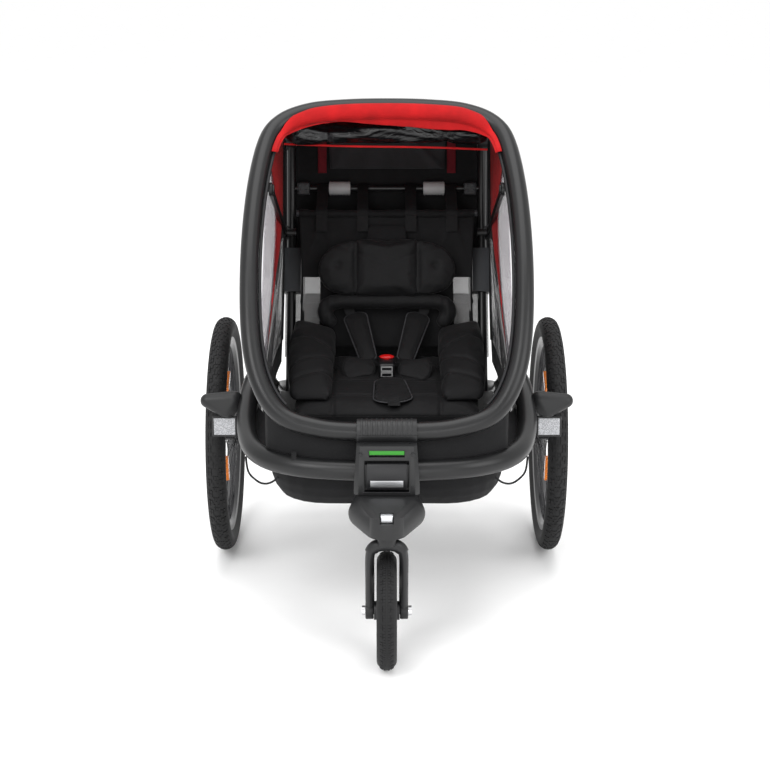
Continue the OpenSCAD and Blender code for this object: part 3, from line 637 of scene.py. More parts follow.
def soften(piece, move):
    """Moves each corner of a finished mesh by move(x, y, z, normal), all in millimetres."""
    normals = [corner.normal.copy() for corner in piece.data.vertices]
    for corner, normal in zip(piece.data.vertices, normals):
        x, y, z = (corner.co - AXLE) / MM
        corner.co += Vector(move(x, y, z, normal)) * MM
    return piece


def ripple(x, y, z, seed=0.0):
    """A smooth wandering value between about -1 and 1."""
    return (math.sin(0.031 * x + 0.043 * z + 1.7 + seed) + math.sin(0.057 * y - 0.049 * x + 2.3 * seed)
            + math.sin(0.083 * z + 0.021 * y + 0.6 - seed)) / 3


STUFFED = []


def stuff(piece, voxel=5.0, cap=7.0, pressure=4.0):
    """Notes a closed piece to be swollen like a stuffed pad, with the others."""
    finish_mesh(piece, ("REMESH", dict(mode="VOXEL", voxel_size=voxel * MM)))
    STUFFED.append((piece, cap, pressure))
    return piece


def swell_all():
    """Swells all the noted pads at once, each point moving no further than its pad's cap."""
    before = {piece: [corner.co.copy() for corner in piece.data.vertices] for piece, cap, pressure in STUFFED}
    for piece, cap, pressure in STUFFED:
        stuffing = piece.modifiers.new("stuffing", "CLOTH")
        stuffing.settings.use_pressure = True
        stuffing.settings.uniform_pressure_force = pressure
        stuffing.settings.effector_weights.gravity = 0
        stuffing.settings.quality = 4
        stuffing.point_cache.frame_start = 1
        stuffing.point_cache.frame_end = SWELL_STEPS
    for step in range(1, SWELL_STEPS + 1):
        bpy.context.scene.frame_set(step)
    for piece, cap, pressure in STUFFED:
        only(piece)
        bpy.ops.object.modifier_apply(modifier="stuffing")
    bpy.context.scene.frame_set(1)
    for piece, cap, pressure in STUFFED:
        for corner, old in zip(piece.data.vertices, before[piece]):
            step = corner.co - old
            if step.length > cap * MM:
                corner.co = old + step.normalized() * cap * MM
        finish_mesh(piece, ("SMOOTH", dict(factor=0.5, iterations=2)),
                    ("SUBSURF", dict(levels=1, render_levels=1)))
        smooth(piece)
    STUFFED.clear()


# ---------- design lines shared by several pieces ----------

HOOP_OUTLINE = [(0.47, 0.01), (0.74, 0.05), (0.9, 0.15), (0.977, 0.3), (1, 0.52), (0.977, 0.73),
                (0.91, 0.885), (0.8, 0.95), (0.59, 0.985), (0.31, 0.997)]
HINGE = (-545, 416)
STRUT_FOOT, LINK_REAR, STRUT_TOP = (20, 315), (180, 655), (215, 850)
SEAT_BAR = (197.15, 750.55)
HEM = (125, 707)
BACK_HEIGHT = 283.5
BAG_FLOOR = 331
RAIL_HALF = [(63, -560, 348), (168, -540, 350), (238, -480, 354), (267, -380, 370), (272, -230, 405),
             (268, -110, 405), (256, 0, 368), (246, 100, 318), (230, 185, 300), (152, 215, 300)]
CORD_R = 2
CORD_POINTS = [(262, -470, 345), (256, -490, 322), (240, -500, 308), (226, -505, 304), (212, -508, 308),
               (200, -510, 318)]


BACK_LEAN = math.atan2(85, 289)
SEAT_RISE = math.atan2(50, 283)


def opposite(points):
    """The other side's points, in the order that carries the line on."""
    return [(-x, y, z) for x, y, z in reversed(points)]


def hoop_y(z):
    t = (z - 416) / 564
    return -545 + 450 * t - 200 * t * (1 - t)


def hoop_line(steps, inset=0.0):
    """Centre line of the hoop from one foot over the top to the other, drawn in by inset."""
    half = [(50, -545, 416)] + [(256 * a, hoop_y(416 + 540 * b), 416 + 540 * b) for a, b in HOOP_OUTLINE]
    line = curve_through(half + [(0, hoop_y(956), 956)] + opposite(half), steps)
    if not inset:
        return line
    up, middle = Vector((0, -1, 0.798)).normalized(), Vector((0, hoop_y(686), 686))
    drawn = []
    for before, here, after in zip(line, line[1:], line[2:]):
        side = up.cross(after - before).normalized()
        drawn.append(here + side * (inset if side.dot(middle - here) > 0 else -inset))
    return drawn


def on_line(points, key, value):
    """Point of a line where the coordinate numbered key first reaches value."""
    for a, b in zip(points, points[1:]):
        if min(a[key], b[key]) <= value <= max(a[key], b[key]) and a[key] != b[key]:
            return Vector(a).lerp(Vector(b), (value - a[key]) / (b[key] - a[key]))
    return Vector(points[-1])


def along_table(table, value):
    """Straight-line reading of a table of (place, value) pairs."""
    for (a, first), (b, second) in zip(table, table[1:]):
        if value <= b:
            return lerp(first, second, max(0, (value - a)) / (b - a))
    return table[-1][1]


def ring_spot(x, centre, radius, angle):
    """Place on a circle in the side view, its angle in degrees from the back upwards."""
    turn = math.radians(angle)
    return x, centre[0] + radius * math.cos(turn), centre[1] + radius * math.sin(turn)


def on_back(x, y, z):
    """Place on the seat back: y out of its rear face, z up it."""
    y -= 6.4
    return (x, 45 + y * math.cos(BACK_LEAN) + z * math.sin(BACK_LEAN),
            430 - y * math.sin(BACK_LEAN) + z * math.cos(BACK_LEAN))


def up_back(y, z):
    """How far up the seat back's face a place is."""
    return (y - 45) * math.sin(BACK_LEAN) + (z - 430) * math.cos(BACK_LEAN)


def on_seat(x, y, z):
    """Place on the seat: y back along its top, z up from it."""
    z += 0.4
    return (x, -246 + y * math.cos(SEAT_RISE) - z * math.sin(SEAT_RISE),
            374 + y * math.sin(SEAT_RISE) + z * math.cos(SEAT_RISE))


RAIL_CURVE = curve_through(RAIL_HALF, 8)


# ---------- cords ----------

def cover_cord(name, side, node, cord_finish):
    """Elastic cord that holds the rain cover, from the rail to the tub."""
    points = [spot(side * p[0], p[1], p[2]) for p in curve_through(CORD_POINTS, 6)]
    cord = wire(name, points, CORD_R, 3)
    dress(cord, "chassis", cord_finish, "black_fabric", (node,))


# ---------- tubes and frame ----------

def chassis_rail(finish):
    ring = curve_through(RAIL_HALF + opposite(RAIL_HALF), 8, closed=True)
    rail = tube("rail_tube", ring, 19, closed=True, sides=28)
    dress(rail, "chassis", finish, "tube", ("chassis_tube",))


def hoop_tube(finish, seal):
    bow = tube("hoop_bow", hoop_line(8), 17.5, sides=28)
    sleeve = rod("hoop_sleeve", (-56, *HINGE), (56, *HINGE), 18.3, 48)
    parts = [sleeve]
    lug_z, pivot = 825, (-240.5, 811)
    lug_y = hoop_y(lug_z)
    square = Vector((0, 14, 18)).normalized() * 9
    for side in (-1, 1):
        x0, x1 = sorted((side * 236, side * 244))
        corners = [(lug_y + square.y, lug_z + square.z), (pivot[0] + square.y, pivot[1] + square.z),
                   (pivot[0] - square.y, pivot[1] - square.z), (lug_y - square.y, lug_z - square.z)]
        lug = plate("lug", corners, x0, x1)
        eye = rod("eye", (x0, *pivot), (x1, *pivot), 10)
        pin = rod("pin", (side * 219, *pivot), (side * 240, *pivot), 5)
        collar = rod("collar", (side * 216, *pivot), (side * 219.6, *pivot), 9)
        parts += [round_edges(lug, 1.2), round_edges(eye, 1), pin, round_edges(collar, 1)]
    join_pieces(bow, *parts)
    dress(smooth(bow, 40), "hoop", finish, "tube", ("front_hoop",))
    line = hoop_line(8, 20.5)
    gasket = tube("hoop_seal", line[16:-16], 3.2, sides=12)
    dress(gasket, "hoop", seal, "seal", ("hoop_gasket",))


def push_bar(finish, rubber_grip):
    """Handlebar with its bosses and its soft grip."""
    shares = [(0, 0), (0, 0.34), (0, 0.62), (0.04, 0.86), (0.12, 0.96), (0.25, 1), (0.4, 1)]
    half = [(235 * (1 - a), 215 + 106.5 * b, 850 + 22 * b) for a, b in shares]
    bar = tube("push_bar", curve_through(half + opposite(half), 8), 13, sides=24)
    bosses = []
    for side in (-1, 1):
        boss = rod("boss", (side * 221, *STRUT_TOP), (side * 249, *STRUT_TOP), 19, 48)
        cap = rod("cap", (side * 248, *STRUT_TOP), (side * 251, *STRUT_TOP), 10, 32)
        bosses += [round_edges(boss, 2), round_edges(cap, 1)]
    join_pieces(bar, *bosses)
    dress(smooth(bar, 40), "handlebar", finish, "tube", ("handlebar",))
    grip = tube("bar_grip", [(x, 321.5, 872) for x in range(-140, 141, 4)], 16, sides=32)
    soften(grip, lambda x, y, z, n: n * 0.5 * math.cos(x * math.pi / 4) if abs(x) < 134 else n * -0.5)
    dress(grip, "handlebar", rubber_grip, "black_plastic", ("handle_grip",))


# ---------- wheels ----------

def tyre(name, radius, width, seat, bead, centre, rows, count, tread, pattern):
    """A tyre with its tread blocks raised from a smooth ring.

    rows are the angles that part the blocks across the tread, and pattern(row, i)
    says whether block i of a row is raised.
    """
    r = width / 2
    middle = radius - r
    base = [(math.radians(a), r - tread) for a in rows]
    side_angles = [68, 84, 100, 116, 132]
    section = ([(-math.radians(a), r - tread * 0.3) for a in reversed(side_angles)] + base
               + [(math.radians(a), r - tread * 0.3) for a in side_angles])
    ring = [(d * math.sin(a), middle + d * math.cos(a)) for a, d in section]
    ring = [(-bead, seat)] + ring + [(bead, seat)]
    around = count * 3
    deselect()
    bpy.ops.mesh.primitive_grid_add(x_subdivisions=around, y_subdivisions=len(ring), size=1)
    piece = bpy.context.object
    piece.name = name
    first = len(side_angles) + 1
    raised = []
    for face in piece.data.polygons:
        i = int((face.center.x + 0.5) * around)
        row = int((face.center.y + 0.5) * len(ring)) - first
        raised.append(0 <= row < len(rows) - 1 and pattern(row, i))
    for corner in piece.data.vertices:
        turn = (corner.co.x + 0.5) * 2 * math.pi
        x, out = ring[round((corner.co.y + 0.5) * len(ring)) % len(ring)]
        corner.co = spot(centre[0] + x, centre[1] + out * math.cos(turn), centre[2] + out * math.sin(turn))
    bpy.ops.object.mode_set(mode="EDIT")
    bpy.ops.mesh.select_mode(type="FACE")
    bpy.ops.object.mode_set(mode="OBJECT")
    for face, picked in zip(piece.data.polygons, raised):
        face.select = picked
    bpy.ops.object.mode_set(mode="EDIT")
    bpy.ops.mesh.inset(thickness=0.0006, use_individual=True)
    bpy.ops.mesh.extrude_region_shrink_fatten(TRANSFORM_OT_shrink_fatten={"value": tread * 0.95 * MM})
    bpy.ops.mesh.select_all(action="SELECT")
    bpy.ops.mesh.remove_doubles(threshold=0.00001)
    bpy.ops.mesh.normals_make_consistent(inside=False)
    bpy.ops.object.mode_set(mode="OBJECT")
    return smooth(piece, 35)


def side_tread(row, i):
    """Shoulder blocks in pairs, staggered blocks between them, and a broken middle rib."""
    if row in (0, 6):
        return (i + row % 2) % 3 != 2
    if row in (1, 5):
        return i % 6 in (0, 1, 3)
    if row in (2, 4):
        return i % 6 in (2, 4, 5)
    return i % 3 != 1


def front_tread(row, i):
    """Two closed ribs, an open middle and shoulder blocks."""
    return i % 3 != 2 if row in (0, 4) else row != 2


def side_wheel(side, name, rubber_finish, orange, plastic):
    body = name + "_wheel"
    blocks = tyre(name + "_block_tyre", WHEEL_R, 42, 208, 12.5, (side * WHEEL_X, 0, WHEEL_Z),
                  (-56, -38, -20, -7, 7, 20, 38, 56), 64, 1.8, side_tread)
    dress(blocks, body, rubber_finish, "tyre", (name + "_tyre",))
    reflectors = from_node(name + "_spoke_reflectors", name + "_wheel_reflectors", 1.6, 3)
    dress(reflectors, body, orange, "reflector_orange", (name + "_spoke_reflectors",))
    stem = rod(name + "_valve", (side * WHEEL_X, 0, WHEEL_Z + 158), (side * WHEEL_X, 0, WHEEL_Z + 189.5), 3, 16)
    dress(round_edges(stem, 0.8), body, plastic, "black_plastic")


def front_wheel(rubber_finish, plastic):
    ribs = tyre("front_block_tyre", 107.5, 37, 77.5, 12.5, (0, -635, 107.5), (-46, -22, -5, 5, 22, 46), 40, 1.3,
                front_tread)
    dress(ribs, "front_wheel", rubber_finish, "grey_tyre", ("front_tyre",))
    rim = from_node("front_rim", "front_five_spoke_rim", 1.8, 3)
    dress(rim, "front_wheel", plastic, "black_plastic", ("front_rim",))


# ---------- connector, nose and fork ----------

def connector(plastic, light, silver_paint, green, dark):
    """Clamp, housing, release latch, nose and fork, with rounded edges."""
    for node, name, body, edge, finish, slot in (
            ("connector_housing", "housing_shell", "chassis", 2.2, plastic, "dark_plastic"),
            ("clamp_cap", "clamp_shell", "chassis", 0.8, plastic, "dark_plastic"),
            ("nose_housing", "nose_shell", "chassis", 2.5, plastic, "dark_plastic"),
            ("latch_button", "latch_paddle", "latch", 1.6, dark, "black_plastic"),
            ("latch_inlay", "latch_plate", "latch", 1.2, silver_paint, "silver"),
            ("lock_indicator", "lock_bar", "indicator", 0.8, green, "green_plastic"),
            ("swivel_tab", "swivel_slide", "swivel_lock", 1.6, silver_paint, "silver"),
            ("fold_brackets", "strut_brackets", "rear_frame", 2.5, light, "grey_plastic"),
            ("wheel_guards", "guard_arms", "chassis", 1.5, plastic, "dark_plastic"),
            ("buckle", "buckle_shell", "chassis", 1.2, dark, "black_plastic"),
            ("brake_pedal", "pedal_shell", "brake_pedal", 2.0, light, "red_plastic")):
        piece = from_node(node, name, edge, 3)
        if node == "wheel_guards":
            spread_guards(piece)
        dress(piece, body, finish, slot, (node,))
    arched_fork(plastic)
    frame_lip = plate("recess_lip", [(-597.2, 316), (-597.2, 318.4), (-590, 318.4), (-590, 316)], -42, 42)
    dress(round_edges(frame_lip, 0.6), "chassis", dark, "black_plastic")
    screws = []
    for x in (-47, 47):
        for z in (327, 388):
            screws.append(round_edges(rod("screw", (x, -597.4, z), (x, -592, z), 3.2, 24), 0.6))
    join_pieces(*screws)
    screws[0].name = "housing_screws"
    dress(screws[0], "chassis", dark, "steel")


def spread_guards(piece):
    """Deepens the guards towards the rail, so that each is a fin and not a pebble."""
    for corner in piece.data.vertices:
        x, y, z = (corner.co - AXLE) / MM
        share = max(0, min(1, (347 - abs(x)) / 55))
        z += (8 if z > 392 else -8) * share
        corner.co = spot(x - math.copysign(7 * share * (abs(x) < 322), x), y, z)


def arched_fork(finish):
    """One bent bar over the wheel, flattened into legs, with a stem and dropouts."""
    out, axle_z, steer = 30.2, 107.5, -665
    half = [(out, -635, 103), (out, -640, 135), (out, -648, 180), (out, -654.5, 212), (out - 2.5, -658, 229),
            (out - 10, -660, 239), (out - 20, -661, 242.5), (4, -661, 243)]
    line = curve_through(half + opposite(half), 6)
    bar = tube("fork_frame", line, 11.3, sides=24)
    for corner in bar.data.vertices:
        x, y, z = (corner.co - AXLE) / MM
        if abs(x) > 17 and z < 232:
            corner.co = spot(math.copysign(out, x) + (x - math.copysign(out, x)) * 0.73, y, z)
    parts = []
    for side in (-1, 1):
        x0, x1 = sorted((side * 23.6, side * 38.4))
        parts.append(round_edges(rod("dropout", (x0, -635, axle_z), (x1, -635, axle_z), 15.5, 40), 2, 3))
    parts.append(round_edges(rod("stem", (0, steer, 244), (0, steer, 262.6), 16.5, 48), 2, 3))
    parts.append(rod("steerer", (0, steer, 262), (0, steer, 295), 12.4, 48))
    join_pieces(bar, *parts)
    dress(smooth(bar, 45), "fork", finish, "dark_plastic", ("front_fork",))


def guards(clear, plastic):
    """Reflector housings under the wheel guards: frame and prism plate."""
    for side, name in ((-1, "right"), (1, "left")):
        x0, x1 = sorted((side * 295.5, side * 344.5))
        case = round_edges(box(name + "_guard_case", (x0, -279.4, 325.4), (x1, -274, 368.4)), 2.5, 4)
        dress(case, "chassis", plastic, "black_plastic", ("guard_reflectors",))
        a, b = sorted((side * 299, side * 341))
        lens = round_edges(box(name + "_guard_lens", (a, -280, 330), (b, -278.6, 364)), 0.6, 2)
        dress(lens, "chassis", clear, "reflector_clear")


# ---------- canopy and walls ----------

def strut_y(z):
    """Middle line of the struts at a height."""
    return along_table([(315, 20), (655, 180), (850, 215), (900, 224)], z)


def canopy_place(u, v):
    """The roof: u across, v from the hoop back over the top to the rear hem."""
    x = lerp(-1, 1, u)
    y = lerp(-120 - 32 * x ** 4, 235, v)
    half = along_table([(-152, 224), (-90, 226), (150, 220), (235, 214)], y)
    crown = 946 - 0.18 * (y + 120) if y > -100 else 950 - 0.3 * (y + 120)
    bow = 9 * math.cos(math.pi * (v * 2.2)) * (1 - abs(x) ** 2)
    edge = 30 * abs(x) ** 6
    return x * half, y, crown - edge - abs(bow) * 0.4 - 4 * (1 - x * x) * math.sin(math.pi * v)


def canopy_roof(red):
    roof = sheet_grid("canopy_roof", 60, 48, canopy_place)
    hang(roof, "hoop", red, "red_fabric", 1.6, -1,
         replaces=("canopy",))


VALANCE_WRAP = [(-240, -55), (-222, -42), (-208, -14), (-190, 8), (-150, 22), (-90, 28), (90, 28), (150, 28),
                (190, 16), (208, -10), (222, -40), (240, -55)]
VALANCE_DROP = [(-240, 1), (-222, 2), (-196, 4), (-170, 2), (-96, 2), (-30, 8), (30, 15), (134, 16), (190, 8),
                (222, 2), (240, 1)]
VALANCE_R, VALANCE_TURN = 25.5, 62


def canopy_valance(red):
    """Front edge of the roof: from the tube's front, round under it, and down to the free edge."""
    top = [p for p in hoop_line(8) if p.z > 872]

    def flap(u, v):
        i = min(round(u * (len(top) - 1)), len(top) - 1)
        here = top[i]
        run = (top[min(i + 1, len(top) - 1)] - top[max(i - 1, 0)]).normalized()
        ahead = Vector((0, -1, 0)) - run * run.dot(Vector((0, -1, 0)))
        ahead.normalize()
        inward = run.cross(ahead)
        if inward.z > 0:
            inward = -inward
        if v <= 0.5:
            turn = math.radians(lerp(along_table(VALANCE_WRAP, here.x), -VALANCE_TURN, v * 2))
            reach = lerp(18.6, VALANCE_R, min(1, v * 3))
            return tuple(here + ahead * (reach * math.cos(turn)) - inward * (reach * math.sin(turn)))
        turn = math.radians(VALANCE_TURN)
        start = here + ahead * (VALANCE_R * math.cos(turn)) + inward * (VALANCE_R * math.sin(turn))
        t = (v - 0.5) * 2
        return (start.x * (1 - 0.02 * t), start.y + 3 * t + 2 * math.sin(here.x * 0.021 + 1) * t,
                start.z - along_table(VALANCE_DROP, here.x) * t + 1.2 * math.sin(here.x * 0.05) * t)
    valance = sheet_grid("canopy_valance", len(top) - 1, 16, flap)
    hang(valance, "hoop", red, "red_fabric", 1.4, 1)


def strut_panel(name, x0, x1, z0, z1, across, down, relief, taper=0.0):
    """A sheet across the struts from height z0 down to z1, lifted off them by relief(u, v)."""
    def place(u, v):
        z = lerp(z0, z1, v)
        return lerp(x0, x1, u) * (1 - taper * v), strut_y(z) + relief(u, v), z
    return sheet_grid(name, across, down, place)


def pocket_relief(u, v):
    """A slack pocket with two folds running across it."""
    across = lerp(-1, 1, u)
    return (6 + 3 * math.sin(math.pi * v) - 3.5 * math.exp(-((across - 0.25 - 0.7 * v) / 0.08) ** 2)
            - 3 * math.exp(-((across + 0.62 + 0.3 * v) / 0.09) ** 2))


def canopy_back(dark, pocket_cloth, stripe_cloth, net):
    """Panel behind the roof, its pocket and two stripes, and the nets inside the struts."""
    back = strut_panel("canopy_back", -223, 223, 886, 600, 60, 30,
                       lambda u, v: 18 + 2.5 * math.sin(7 * u + 4 * v) * math.sin(math.pi * u))
    hang(back, "rear_frame", dark, "black_fabric", 1.6)
    pocket = strut_panel("canopy_back_pocket", -128, 130, 872, 792, 44, 26, pocket_relief, 0.03)
    hang(pocket, "rear_frame", pocket_cloth, "black_fabric", 1.4)
    for side, name in ((-1, "right"), (1, "left")):
        stripe = strut_panel(name + "_back_stripe", side * 132, side * 151, 872, 782, 6, 20,
                             lambda u, v: 8 + math.sin(3 * v))
        hang(stripe, "rear_frame", stripe_cloth, "red_fabric", 1.2)
        strip = strut_panel(name + "_strut_net", side * 179, side * 222, 602, 400, 10, 40, lambda u, v: 16)
        hang(strip, "rear_frame", net, "black_fabric", 0.8)


def roll_cover(shine, strap):
    """The rain cover rolled up under the front of the roof, pinched by its ties, and its strap."""
    def place(u, v):
        turn = 2 * math.pi * v
        x = lerp(-200, 200, u)
        pinch = 1 - 0.2 * sum(math.exp(-((x - at) / 9) ** 2) for at in (-120, 118))
        end = 1 - 0.45 * (max(0, abs(x) - 178) / 22) ** 2
        swirl = 1 + 0.09 * math.sin(3 * turn + x * 0.03) + 0.05 * math.sin(7 * turn - x * 0.05)
        r = 24 * pinch * end * swirl
        return x, -79 + r * math.cos(turn), 903 + 2.5 * math.sin(x * 0.02 + 1) + 0.92 * r * math.sin(turn)
    roll = sheet_grid("rolled_rain_cover", 90, 36, place)
    close_seams(roll, True)
    dress(smooth(roll), "hoop", shine, "black_fabric", ("rolled_cover",))
    sag = [(x, -84, 874 - 0.024 * x + 0.8 * math.sin(x * 0.02)) for x in range(-206, 207, 8)]
    band = tube("roll_strap", sag, 2.2)
    dress(band, "hoop", strap, "red_fabric")


WINDOW_LOW, WINDOW_HIGH = 468, 860
RED_EDGE = [(440, -462), (480, -430), (520, -340), (560, -200), (600, -70), (640, 40), (700, 120), (900, 168)]
WALL_END = [(402, 44), (440, 70), (640, 160), (850, 182), (905, 190)]


def window_back(z):
    """Rear edge of the tinted window at a height."""
    if not WINDOW_LOW < z < WINDOW_HIGH:
        return hoop_y(z) + 30
    return hoop_y(z) + 30 + 335 * max(0, math.sin(math.pi * (z - 468) / 392)) ** 0.75


def red_back(z):
    """Rear edge of the red surround at a height."""
    return along_table(RED_EDGE, z)


def rear_edge(z):
    """Rear edge of the whole side wall at a height."""
    return along_table(WALL_END, z)


def wall_x(y):
    return 231 - max(0, y + 60) * 0.036


def side_wall(name, side, red, dark, tinted, netting, piping):
    """One side of the cabin: tinted window, red surround and black net, sewn edge to edge."""
    def strip(label, first, last, z0, z1, finish, across, up, slot, belly):
        def place(u, v):
            z = lerp(z0, z1, v)
            a, b = first(z), last(z)
            y = lerp(a, max(a + 2, b), u)
            return side * (wall_x(y) - belly * math.sin(math.pi * u) * math.sin(math.pi * v)), y, z
        piece = sheet_grid(name + label, across, up, place)
        return hang(piece, "hoop", finish, slot, 0.6 if finish is tinted else 1.4)

    def behind_window(z):
        return window_back(z) - 3 if WINDOW_LOW < z < WINDOW_HIGH else hoop_y(z) + 8
    front = strip("_window", lambda z: hoop_y(z) + 8, lambda z: window_back(z) + 3, 470, 858, tinted, 24, 50,
                  "window_film", 5)
    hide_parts("side_windows")
    strip("_red_surround", behind_window, red_back, 492, 912, red, 24, 60, "red_fabric", 3)
    strip("_upper_side", lambda z: red_back(z) - 3, rear_edge, 655, 905, dark, 16, 30, "black_fabric", 1)
    strip("_side_net", lambda z: red_back(z) - 3, rear_edge, 440, 655, netting, 24, 40, "black_fabric", 2)
    strip("_lower_side", lambda z: -400 - 1.2 * (z - 398), rear_edge, 398, 442, dark, 40, 8, "black_fabric", 1)
    for label, line, heights, proud, radius in (
            ("_window_piping", window_back, range(474, 858, 6), 0.5, 2.0),
            ("_wall_piping", red_back, range(442, 900, 8), 0.5, 2.0),
            ("_wall_hem", rear_edge, range(440, 900, 10), 0.3, 3.0)):
        edge = [(side * (wall_x(line(z)) + proud), line(z), z) for z in heights]
        dress(tube(name + label, edge, radius), "hoop", piping, "black_fabric")


def front_panel(fabric, strap_finish):
    """Fabric between the hoop's foot and the rail, with a pull tab."""
    hoop_part = hoop_line(6)[:36]
    rail_part = curve_through(RAIL_HALF + opposite(RAIL_HALF), 6, closed=True)[:24]

    def place(u, v):
        x = lerp(-222, 222, u)
        high = on_line(hoop_part, 0, max(abs(x), 52))
        low = on_line(rail_part, 0, max(abs(x), 64))
        y = lerp(high.y + 4, low.y + 6, v) + 3 * math.sin(math.pi * v) + 1.2 * ripple(x, 0, 90 * v)
        return x, y, lerp(high.z - 8, low.z + 12, v)
    panel = sheet_grid("front_panel", 70, 16, place)
    hang(panel, "chassis", fabric, "black_fabric", 1.6)
    tab = ribbon("pull_tab", [(-168, y, z) for y, z in ((-541, 377), (-548, 372), (-552, 364), (-553, 356))], 9, 1.6)
    dress(tab, "chassis", strap_finish, "webbing")


# ---------- tub, floor and bags ----------

def plan_point(share, half, front, back, front_r, back_r):
    """Point at a share of the way round a rounded rectangle seen from above."""
    outline = []
    for sx, middle, r, start in ((1, back - back_r, back_r, 0), (-1, back - back_r, back_r, 90),
                                 (-1, front + front_r, front_r, 180), (1, front + front_r, front_r, 270)):
        for k in range(7):
            a = math.radians(start + 15 * k)
            outline.append((sx * (half - r) + r * math.cos(a), middle + r * math.sin(a)))
    place = share * len(outline)
    i = int(place) % len(outline)
    a, b = outline[i], outline[(i + 1) % len(outline)]
    t = place - int(place)
    return lerp(a[0], b[0], t), lerp(a[1], b[1], t)


# half width, front, back, front corner, back corner and height of each ring
TUB_RINGS = [(6, -386, -374, 5, 5, 262.6), (150, -440, -300, 40, 12, 262.6), (192, -494, -266, 84, 16, 262),
             (199.5, -499, -263, 90, 20, 263.5), (213, -515, -263, 112, 20, 281),
             (221, -526, -263, 130, 20, 300), (225.5, -533, -263, 150, 20, 328)]


def fabric_tub(fabric, dark):
    """The footwell: a sewn tub that sags a little between the rail and the floor board."""
    def place(u, v):
        level = v * (len(TUB_RINGS) - 1)
        i = min(int(level), len(TUB_RINGS) - 2)
        t = level - i
        ring = [lerp(a, b, t) for a, b in zip(TUB_RINGS[i], TUB_RINGS[i + 1])]
        x, y = plan_point(u, *ring[:5])
        rise = max(0, (ring[5] - 300) / 28) * (0.13 * (y + 533))
        sag = 1.5 * ripple(x, y, ring[5]) * math.sin(math.pi * v)
        return x + sag * x / 230, y + sag, ring[5] + rise
    tub = sheet_grid("fabric_tub_shell", 112, 40, place)
    close_seams(tub)
    hang(tub, "chassis", fabric, "black_fabric", 2.4, -1, 50,
         ("fabric_tub",))
    for side, name in ((-1, "right"), (1, "left")):
        def apron(u, v):
            y = lerp(-530, -270, u)
            rail = on_line(RAIL_CURVE, 1, y)
            low_x = 226
            if y < -383:
                low_x = 76 + math.sqrt(max(0, 150 ** 2 - (y + 383) ** 2))
            low_z = 326 + 0.13 * (y + 533)
            bow = 4 * math.sin(math.pi * v)
            return (side * (lerp(low_x - 0.5, rail.x - 14, v) + bow), lerp(y, rail.y + 8, v),
                    lerp(low_z, rail.z - 10, v))
        piece = sheet_grid(name + "_tub_apron", 40, 10, apron)
        hang(piece, "chassis", fabric, "black_fabric", 1.6)

        def side_cloth(u, v):
            y = lerp(-272, 14, u)
            rail = on_line(RAIL_CURVE, 1, y)
            spread = lerp(0, max(0, rail.x - 26 - 229.5), v ** 3)
            return side * (229.5 + 4 * math.sin(math.pi * v) + spread), y, lerp(338, min(400, rail.z - 4), v)
        piece = sheet_grid(name + "_seat_side", 40, 10, side_cloth)
        hang(piece, "chassis", fabric, "black_fabric", 1.6)
    pan = round_edges(box("seat_pan", (-228, -270, 337.2), (228, 14, 340)), 1)
    dress(pan, "chassis", dark, "board")


def luggage_bag(fabric, strap_finish):
    """Open bag behind the seat, its top hem gathered and its sides sagging."""
    def place(u, v):
        half = 186 - 4 * math.sin(math.pi * v) * (1 - v)
        front, back = 79 + 1.5 * math.sin(2 * math.pi * v), 177.5 - 3 * v * v
        x, y = plan_point(u, half, front, back, 26 - 8 * v, 30 - 8 * v)
        z = lerp(BAG_FLOOR, 518, v) - (5 * v * v * math.cos(math.pi * x / 372) ** 2)
        fold = 1.6 * ripple(x, y, z, 2.0) * math.sin(math.pi * min(1, v * 1.1))
        return x - fold * x / 190, y - fold * 0.6, z
    bag = sheet_grid("luggage_bag_shell", 112, 30, place)
    close_seams(bag)
    floor_over(bag, (BAG_FLOOR + 0.5) * MM)
    hang(bag, "chassis", fabric, "black_fabric", 2.0, -1, 50, ("luggage_bag",))
    rim = [place(k / 112, 1) for k in range(112)]
    dress(tube("luggage_bag_hem", [(x * 0.996, y, z) for x, y, z in rim], 3.2, closed=True), "chassis",
          strap_finish, "webbing")


# ---------- seat ----------

def seat_cushion():
    outline = [(-252, 352), (-253, 362), (-243, 371), (-120, 393), (33, 419), (34, 402), (28, 343), (-232, 343)]
    cushion = slab("seat_cushion_pad", outline, 384, lambda y, z, w: (w - 192, y, z))
    finish_mesh(cushion, ("BEVEL", dict(width=0.008, segments=3, limit_method="ANGLE", angle_limit=0.5)))
    return stuff(cushion, 6, 8)


def quilt(piece, lines, depth, width):
    """Presses sewn lines into a finished pad: lines(x, y, z) is the distance to the nearest one."""
    def press(x, y, z, normal):
        gap = lines(x, y, z)
        return normal * (-depth * math.exp(-(gap / width) ** 2))
    return soften(piece, press)


def bend_bolster(pad):
    """Brings the pad's top down towards its inner face, so that it leans against the seat."""
    def lower(x, y, z, normal):
        outer = max(0, min(1, (abs(x) - 110) / 87))
        base = 402 + (y + 186) * 0.18
        return (0, 0, -(z - base) * 0.4 * (1 - outer) ** 1.6 if z > base else 0)
    soften(pad, lower)


def bolster(side, name):
    outline = [(-228, 383), (-150, 396), (14, 425), (25, 440), (41, 480), (26, 496), (-40, 491), (-100, 470),
               (-160, 441), (-218, 404)]
    a, b = sorted((side * 110, side * 197))
    pad = slab(name + "_bolster_pad", outline, b - a, lambda y, z, w: (a + w, y, z))
    finish_mesh(pad, ("BEVEL", dict(width=0.010, segments=3, limit_method="ANGLE", angle_limit=0.5)))
    finish_mesh(pad, ("SUBSURF", dict(levels=2, render_levels=2, subdivision_type="SIMPLE")))
    bend_bolster(pad)
    return stuff(pad, 5.5, 9)


